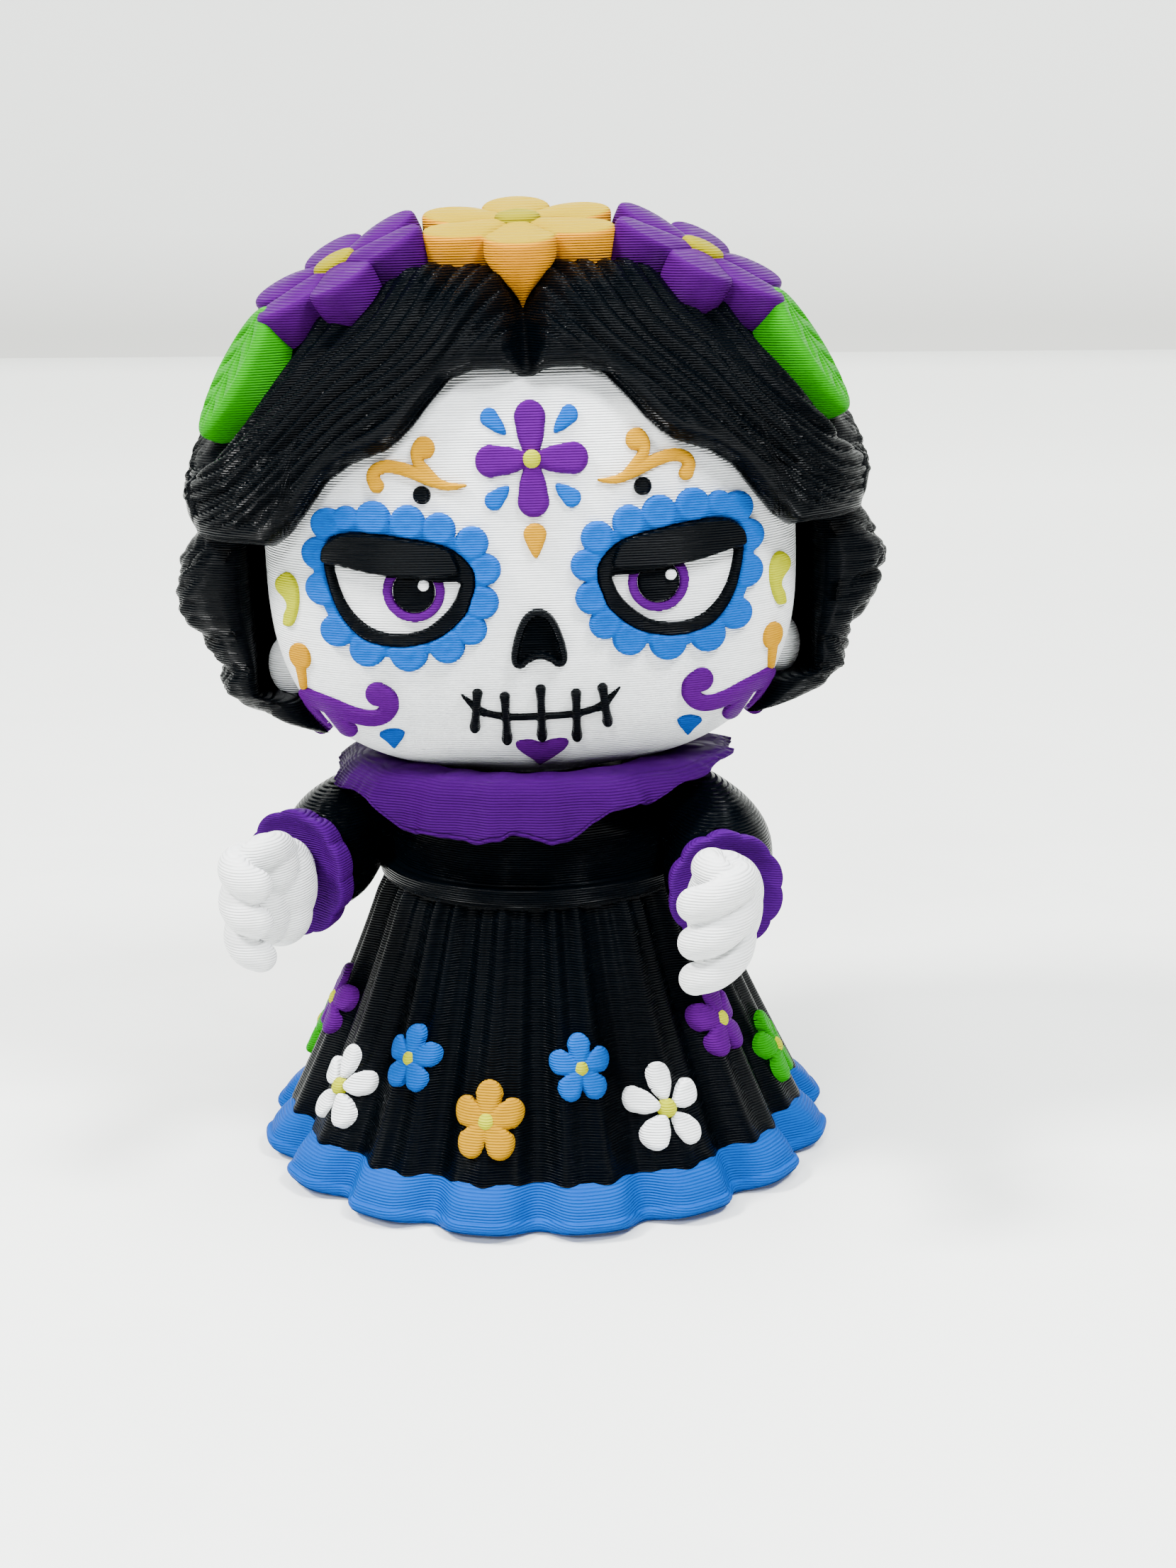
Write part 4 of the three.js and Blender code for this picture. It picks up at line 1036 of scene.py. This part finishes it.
skirt = {
    "hemTop": 4.4, "waist": 26.6, "hemRadius": 24, "waistRadius": 14.4, "power": 1.15,
    "panels": 16, "grooveDepth": 1.45, "fold": 0.4, "foot": 3, "footRadius": 21.5, "rows": 72, "columns": 560,
}
bodice = [
    # radius, height: from inside the skirt up over the belt to the neck
    (12.9, 25.4), (14.5, 26.4), (14.85, 26.7), (15, 27.1), (15, 27.8), (14.9, 28.15), (14.3, 28.3),
    (13.85, 28.6), (13.8, 30.5), (13.8, 32.5), (13, 34), (11.8, 35.3), (9, 35.8),
]
arm = {
    "line": [(10.8, 2.2, 32.4), (14.4, -0.6, 31.8), (17.7, -4.7, 30.3)],
    "radii": [4.3, 4.5, 4.75, 4.85, 4.5, 4.3],
    "wrist": (19.05, -10.95, 28.7), "outward": 22, "intoCuff": (-2.5, 0.2),
}


def panelGroove(angle, power=5):
    return np.abs(np.sin(angle * skirt["panels"] / 2)) ** power


def downSkirt(z):
    return np.clip((skirt["waist"] - z) / (skirt["waist"] - skirt["hemTop"]), 0, 1)


def skirtRadius(angle, z):
    s = skirt
    down = downSkirt(z)
    flare = between(s["waistRadius"], s["hemRadius"], down ** s["power"])
    return flare + s["grooveDepth"] * between(0.5, 1, down) * (0.3 - panelGroove(angle))


def onForearm(side, across, forward, up):
    outward = math.radians(arm["outward"])
    x = arm["wrist"][0] + across * math.cos(outward) + forward * math.sin(outward)
    y = arm["wrist"][1] + across * math.sin(outward) - forward * math.cos(outward)
    return pointsAt(side * x, y, arm["wrist"][2] + up)


def makeDress():
    s = skirt
    a = around(s["columns"])
    z = np.vstack([[s["foot"]], steps(s["hemTop"] - 0.2, s["waist"], s["rows"])])
    folds = np.cos(5 * s["panels"] * a / 2 + 0.8 * np.sin(3 * a)) * between(0.9, 0.5, downSkirt(z))
    r = skirtRadius(a, z) + s["fold"] * folds * (1 - panelGroove(a)) - 0.35 * bell(z, s["waist"], 1.2)
    r[0] = s["footRadius"]
    line = curveThrough(bodice, 54)
    radius, height = line[:, :1], line[:, 1:]
    turn = around(200)
    body = roundAxis(radius + 0.05 * np.cos(24 * turn) * bell(height, 29.5, 1.5), turn, height)
    parts = [closedSkin(roundAxis(r, a, z)), closedSkin(body)]
    for side, _ in bothSides:
        ends = [(side * x, y, h) for x, y, h in arm["line"]]
        ends += [tuple(onForearm(side, 0, forward, 0)) for forward in arm["intoCuff"]]
        parts.append(tube(ends, arm["radii"], 50, 64))
    addPiece("blackDress", "dress", "black", parts)


hem = {
    "rim": 27.1, "valley": 2.3, "rimLift": 0.9, "valleyLift": 0.3, "foot": 24.6, "footValley": 0.8,
    "lip": 0.5, "belly": 0.3, "columns": 640,
}


def makeHem():
    h = hem
    a = around(h["columns"])
    groove = panelGroove(a)
    rim = h["rim"] - h["valley"] * groove
    lift = between(h["rimLift"], h["valleyLift"], groove)
    foot = h["foot"] - h["footValley"] * groove
    inner = skirtRadius(a, skirt["hemTop"]) - 0.15
    belly = h["belly"] * (1 - panelGroove(a, 3))
    profile = []
    for share in np.linspace(0, 1, 8):  # under the ruffle, out to the rim
        profile.append((between(foot, rim - 0.25, share), lift * share ** 1.4))
    for turn in np.linspace(-0.45, 0.5, 8) * np.pi:  # round the rim
        lip = h["lip"]
        profile.append((rim - lip + lip * math.cos(turn), lift + 0.55 + lip * math.sin(turn)))
    for share in np.linspace(0, 1, 14)[1:]:  # up the front to the skirt
        r = between(rim - h["lip"], inner, share) + belly * np.sin(np.pi * share)
        profile.append((r, between(lift + 1.05, skirt["hemTop"] + 0.05, share ** 0.9)))
    profile.append((inner - 1.2, skirt["hemTop"] - 0.6))
    rings = np.array([roundAxis(r, a, z)[0] for r, z in profile])
    addPiece("blueHem", "hem", "blue", [closedSkin(rings)])


collar = {
    "width": 18.6, "depth": 17.2, "aside": -0.35, "inner": 10, "innerTop": 36.9, "top": 38.2, "columns": 720,
    "edge": [  # degrees round it, how low its edge comes
        (-180, 33.5), (-150, 33.7), (-132, 35.6), (-100, 36.6), (-80, 36.1), (-66, 35.3), (-52, 35.8),
        (-41, 35.8), (-35, 34.8), (-27, 33.4), (-18, 33.6), (-10.5, 33.4), (-3.5, 33.05), (2.2, 33.45),
        (6.3, 34), (11.6, 33.65), (16.8, 33.1), (22.3, 33.3), (26.5, 34.1), (33, 35.6), (40, 36),
        (48, 35.9), (53, 36.4), (57, 37.2), (69, 37.2), (75, 37.6), (85, 37.7), (110, 37.6), (130, 35.8),
        (150, 33.8), (180, 33.5),
    ],
    "over": [  # out, down: its upper side, from the edge to the neck
        (0.99, 0.94), (0.95, 0.74), (0.88, 0.46), (0.78, 0.2), (0.64, 0.04), (0.45, 0), (0.25, 0),
    ],
    "ruffle": 0.26, "ripple": 0.12,
}


def makeCollar():
    c = collar
    a = np.linspace(-np.pi, np.pi, c["columns"], endpoint=False)
    low = readOff(c["edge"], np.degrees(a))
    low = sum(np.roll(low, k) for k in range(-4, 5)) / 9
    ragged = c["ripple"] * wander(pointsAt(19 * np.sin(a), 17 * np.cos(a), 0), 1.6, 31)
    ruffle = c["ruffle"] * np.cos(17 * a + 1.5 * np.sin(3 * a))

    def ring(out, down, lift=0, start=c["top"]):
        wave = ruffle * out ** 3 + ragged * max(0, out - 0.9) * 10
        width = between(c["inner"], c["width"] + wave, out)
        depth = between(c["inner"], c["depth"] + wave, out)
        height = between(start, low + ragged * out, down) + lift
        height = height + 0.35 * ruffle * math.sin(math.pi * min(1, out))
        return pointsAt(width * np.sin(a) + c["aside"] * out, -depth * np.cos(a), height)

    rings = [ring(0, 0, -0.7, c["innerTop"]), ring(0.5, 0.35, -1.1), ring(0.9, 0.95, -0.35)]
    for turn in np.linspace(0, 1, 6):  # round the edge
        rings.append(ring(0.965 + 0.035 * math.sin(math.pi * turn), 1.0 - 0.06 * turn, -0.1 + 0.16 * turn))
    rings += [ring(out, max(0, down)) for out, down in curveThrough(c["over"], 40)[1:]]
    rings.append(ring(0, 0, 0, c["innerTop"]))
    skin = closedSkin(np.array(rings), looped=True)
    # its purple is darkened: painted shade from the head above it
    addPiece("ruffledCollar", "collar", "purple", [skin], inside=(0, 0, 0), finish="shadedCollarPurple")


cuff = {
    "scallop": 0.15, "scallops": 10, "size": {"left": 1.045, "right": 0.95}, "tall": 1.04, "droop": 0.3,
    "profile": [  # radius, forward, how much of the scallop
        (3.2, -0.45, 0), (4.5, -0.4, 0.4), (4.9, -0.1, 1.3), (5.05, 0.5, 1.5), (5.3, 1.5, 1),
        (5.25, 2.05, 1), (4.9, 2.12, 0.9), (4.3, 1.85, 0.6), (3.6, 1.5, 0.3), (3, 1.3, 0.1),
    ],
}


def makeCuff(side, word):
    c = cuff
    t = around(240)
    wave = (np.abs(np.cos(c["scallops"] * t / 2)) ** 0.7 * 2 - 1) * c["scallop"]
    line = curveThrough(c["profile"], 48)
    radius, forward, share = line[:, :1], line[:, 1:2], line[:, 2:]
    r = radius * c["size"][word] + wave * share
    up = r * np.cos(t) * c["tall"] - c["droop"] * np.clip(radius - 4, 0, 1)
    rings = onForearm(side, r * np.sin(t), forward + 0.12 * wave * share, up)
    addPiece("scallopedCuff", "cuff", "purple", [closedSkin(rings)], word, finish="cuffPurple")


hand = {
    "balls": [
        ((20.3, -17.6, 28.7), (3.3, 4.6, 4.4)), ((20.7, -20.2, 31.2), (2.8, 3.5, 3)),
        ((20.5, -14.1, 28.8), (2.7, 3.4, 3.3)), ((20.6, -21.6, 27.4), (2, 2.6, 2.9)),
        ((20.1, -18.6, 26.5), (2.8, 3.4, 2.9)),
    ],
    "fingers": [
        [(21.5, -18.5, 31.6), (22.4, -22.3, 32.5), (22.2, -25, 32.5), (21.1, -26.7, 32.1),
         (19.65, -26.9, 31.6)],
        [(21.8, -18.3, 29.8), (22.5, -22.3, 30.2), (22.3, -25.3, 29.7), (21.2, -27, 29),
         (19.65, -27, 28.4)],
        [(21.6, -18.3, 27.3), (22.3, -22, 27.3), (22.2, -24.9, 26.6), (21.1, -26.6, 25.8),
         (19.6, -26.6, 25.2)],
    ],
    "thumb": [(20.2, -16.5, 31.2), (19.7, -19.8, 32.8), (19.9, -22.4, 33.3), (20.9, -24, 33.1)],
    "radii": (1.52, 1.46, 1.4, 1.55),  # the three fingers and the thumb
    "fingerShape": (0.9, 1, 1, 1, 1, 1, 0.98), "turnedIn": {"left": 7, "right": 0},
    "tipShift": {"left": 0.5, "right": -0.3}, "voxel": 0.17, "smooth": 1,
}


def meltTogether(piece):
    melt = piece.modifiers.new("melt", "REMESH")
    melt.mode = "VOXEL"
    melt.voxel_size = hand["voxel"] * toMetres
    melt.use_smooth_shade = True
    soften = piece.modifiers.new("soften", "SMOOTH")
    soften.iterations = hand["smooth"]
    soften.factor = 0.5
    settled = bpy.data.meshes.new_from_object(piece.evaluated_get(bpy.context.evaluated_depsgraph_get()))
    piece.modifiers.clear()
    old, piece.data = piece.data, settled
    bpy.data.meshes.remove(old)


def makeHand(side, word):
    h = hand
    turn = math.radians(h["turnedIn"][word])
    wx, wy, _ = arm["wrist"]

    def flip(points):  # turned in at the wrist, then put on its side
        p = np.asarray(points, float)
        dx, dy = p[..., 0] - wx, p[..., 1] - wy
        x = wx + dx * math.cos(turn) + dy * math.sin(turn)
        return pointsAt(side * x, wy + dy * math.cos(turn) - dx * math.sin(turn), p[..., 2])

    parts = []
    for centre, radii in h["balls"]:
        skin, faces = ball((0, 0, 0), radii)
        parts.append((flip(skin + np.array(centre)), faces))
    for points, radius in zip(h["fingers"] + [h["thumb"]], h["radii"]):
        shift = 0 if points is h["thumb"] else h["tipShift"][word]
        ends = flip(np.array(points) + steps(0, 1, len(points)) ** 3 * (shift, 0, 0))
        parts.append(tube(ends, [radius * k for k in h["fingerShape"]], 40, 32))
        parts.append(ball(ends[-1], (radius * 0.98,) * 3))
    # the hand's white is darkened: painted shade
    meltTogether(addPiece("rolledHand", "hand", "white", parts, word, finish="shadedHandWhite"))


dressFlowers = {
    # name: colour, degrees round the skirt, height, size
    "orange_front": ("orange", 0, 9.34, 1), "blue_right": ("blue", 22.5, 13.39, 0.86),
    "blue_left": ("blue", -22.5, 13.39, 0.86), "white_right": ("white", 42.2, 9.25, 1.03),
    "white_left": ("white", -43.6, 9.22, 1), "purple_right": ("purple", 67.5, 14.5, 1),
    "purple_left": ("purple", -67.5, 14.5, 1), "green_right": ("green", 90, 9.3, 1),
    "green_left": ("green", -90, 9.3, 1), "white_back_right": ("white", 135, 9.3, 1),
    "white_back_left": ("white", -135, 9.3, 1), "orange_back": ("orange", 180, 9.3, 1),
}
blossom = {
    "drop": ((0.95, 2, 2.6), (0.4, 1.03, 1.1)),  # how far out along a petal, and half its width there
    "round": ((0.5, 1.3, 2.1), (0.6, 0.95, 1.28)),
    "height": 0.72, "edge": 0.55, "heart": 0.78, "heartHeight": 1, "sink": -0.3,
    "finish": {"green": "paleGreen", "orange": "dressOrange", "blue": "skyBlue"},
}


def onSkirt(angle, middle):
    base = skirtRadius(angle, middle)
    tilt = math.atan2(skirt["hemRadius"] - skirt["waistRadius"], skirt["waist"] - skirt["hemTop"])

    def surface(along, z, lift):
        a = angle + along / base
        return roundAxis(skirtRadius(a, z) + lift * math.cos(tilt), a, z + lift * math.sin(tilt))
    return surface


def makeDressFlowers():
    f = blossom
    for name, (colour, degrees, height, size) in dressFlowers.items():
        surface = onSkirt(math.radians(degrees), height)
        reach, widths = f["drop" if colour == "white" else "round"]  # the white ones have five separate drops
        petals = []
        for k in range(5):
            t = math.radians(90 + 72 * k)
            petals.append(stroke([(math.cos(t) * far, math.sin(t) * far) for far in reach], widths, 8))
        whole = together(*petals)
        shape = lambda x, z: whole(x / size, (z - height) / size) * size
        lift = puffed(f["height"], f["edge"], 0.1)
        skin = raised(shape, framed([(0, height)], 4.2), lift, surface, 0.1, f["sink"])
        finish = f["finish"].get(colour)
        addPiece("skirtFlower", "dress_flower", colour, [skin], name, inside=(0, 0, height), finish=finish)
        shape, lift = disc(0, height, f["heart"] * size), puffed(f["heartHeight"], 0.7, 0.3)
        skin = raised(shape, framed([(0, height)], 1.3), lift, surface, 0.08, f["sink"])
        addPiece("skirtFlowerHeart", None, "yellow", [skin], name, inside=(0, 0, height))


def makeBody():
    makeDress()
    makeHem()
    makeCollar()
    for side, word in bothSides:
        makeCuff(side, word)
        makeHand(side, word)
    makeDressFlowers()
    print("body dressed")


def layRoom():
    for name, sheet, finish in (("paleFloor", floor, floorFinish()), ("paleWall", wall, wallFinish())):
        corners = []
        for side, edge in ((-1, "start"), (1, "start"), (1, "end"), (-1, "end")):
            corners.append((side * roomHalfWidth, *sheet[edge]))
        placed(name, meshOf(name, corners, [(0, 1, 2, 3)], finish))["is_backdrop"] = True
    print("room laid")


placeCamera()
hangLamps()
layRoom()
mixPlastics()
makeFace()
makeHair()
makeCrown()
makeBody()
bpy.context.view_layer.update()
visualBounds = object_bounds()
asLists = lambda box: [[float(v) for v in corner] for corner in box]
{"cad": asLists(cadBounds), "visual": asLists(visualBounds)}
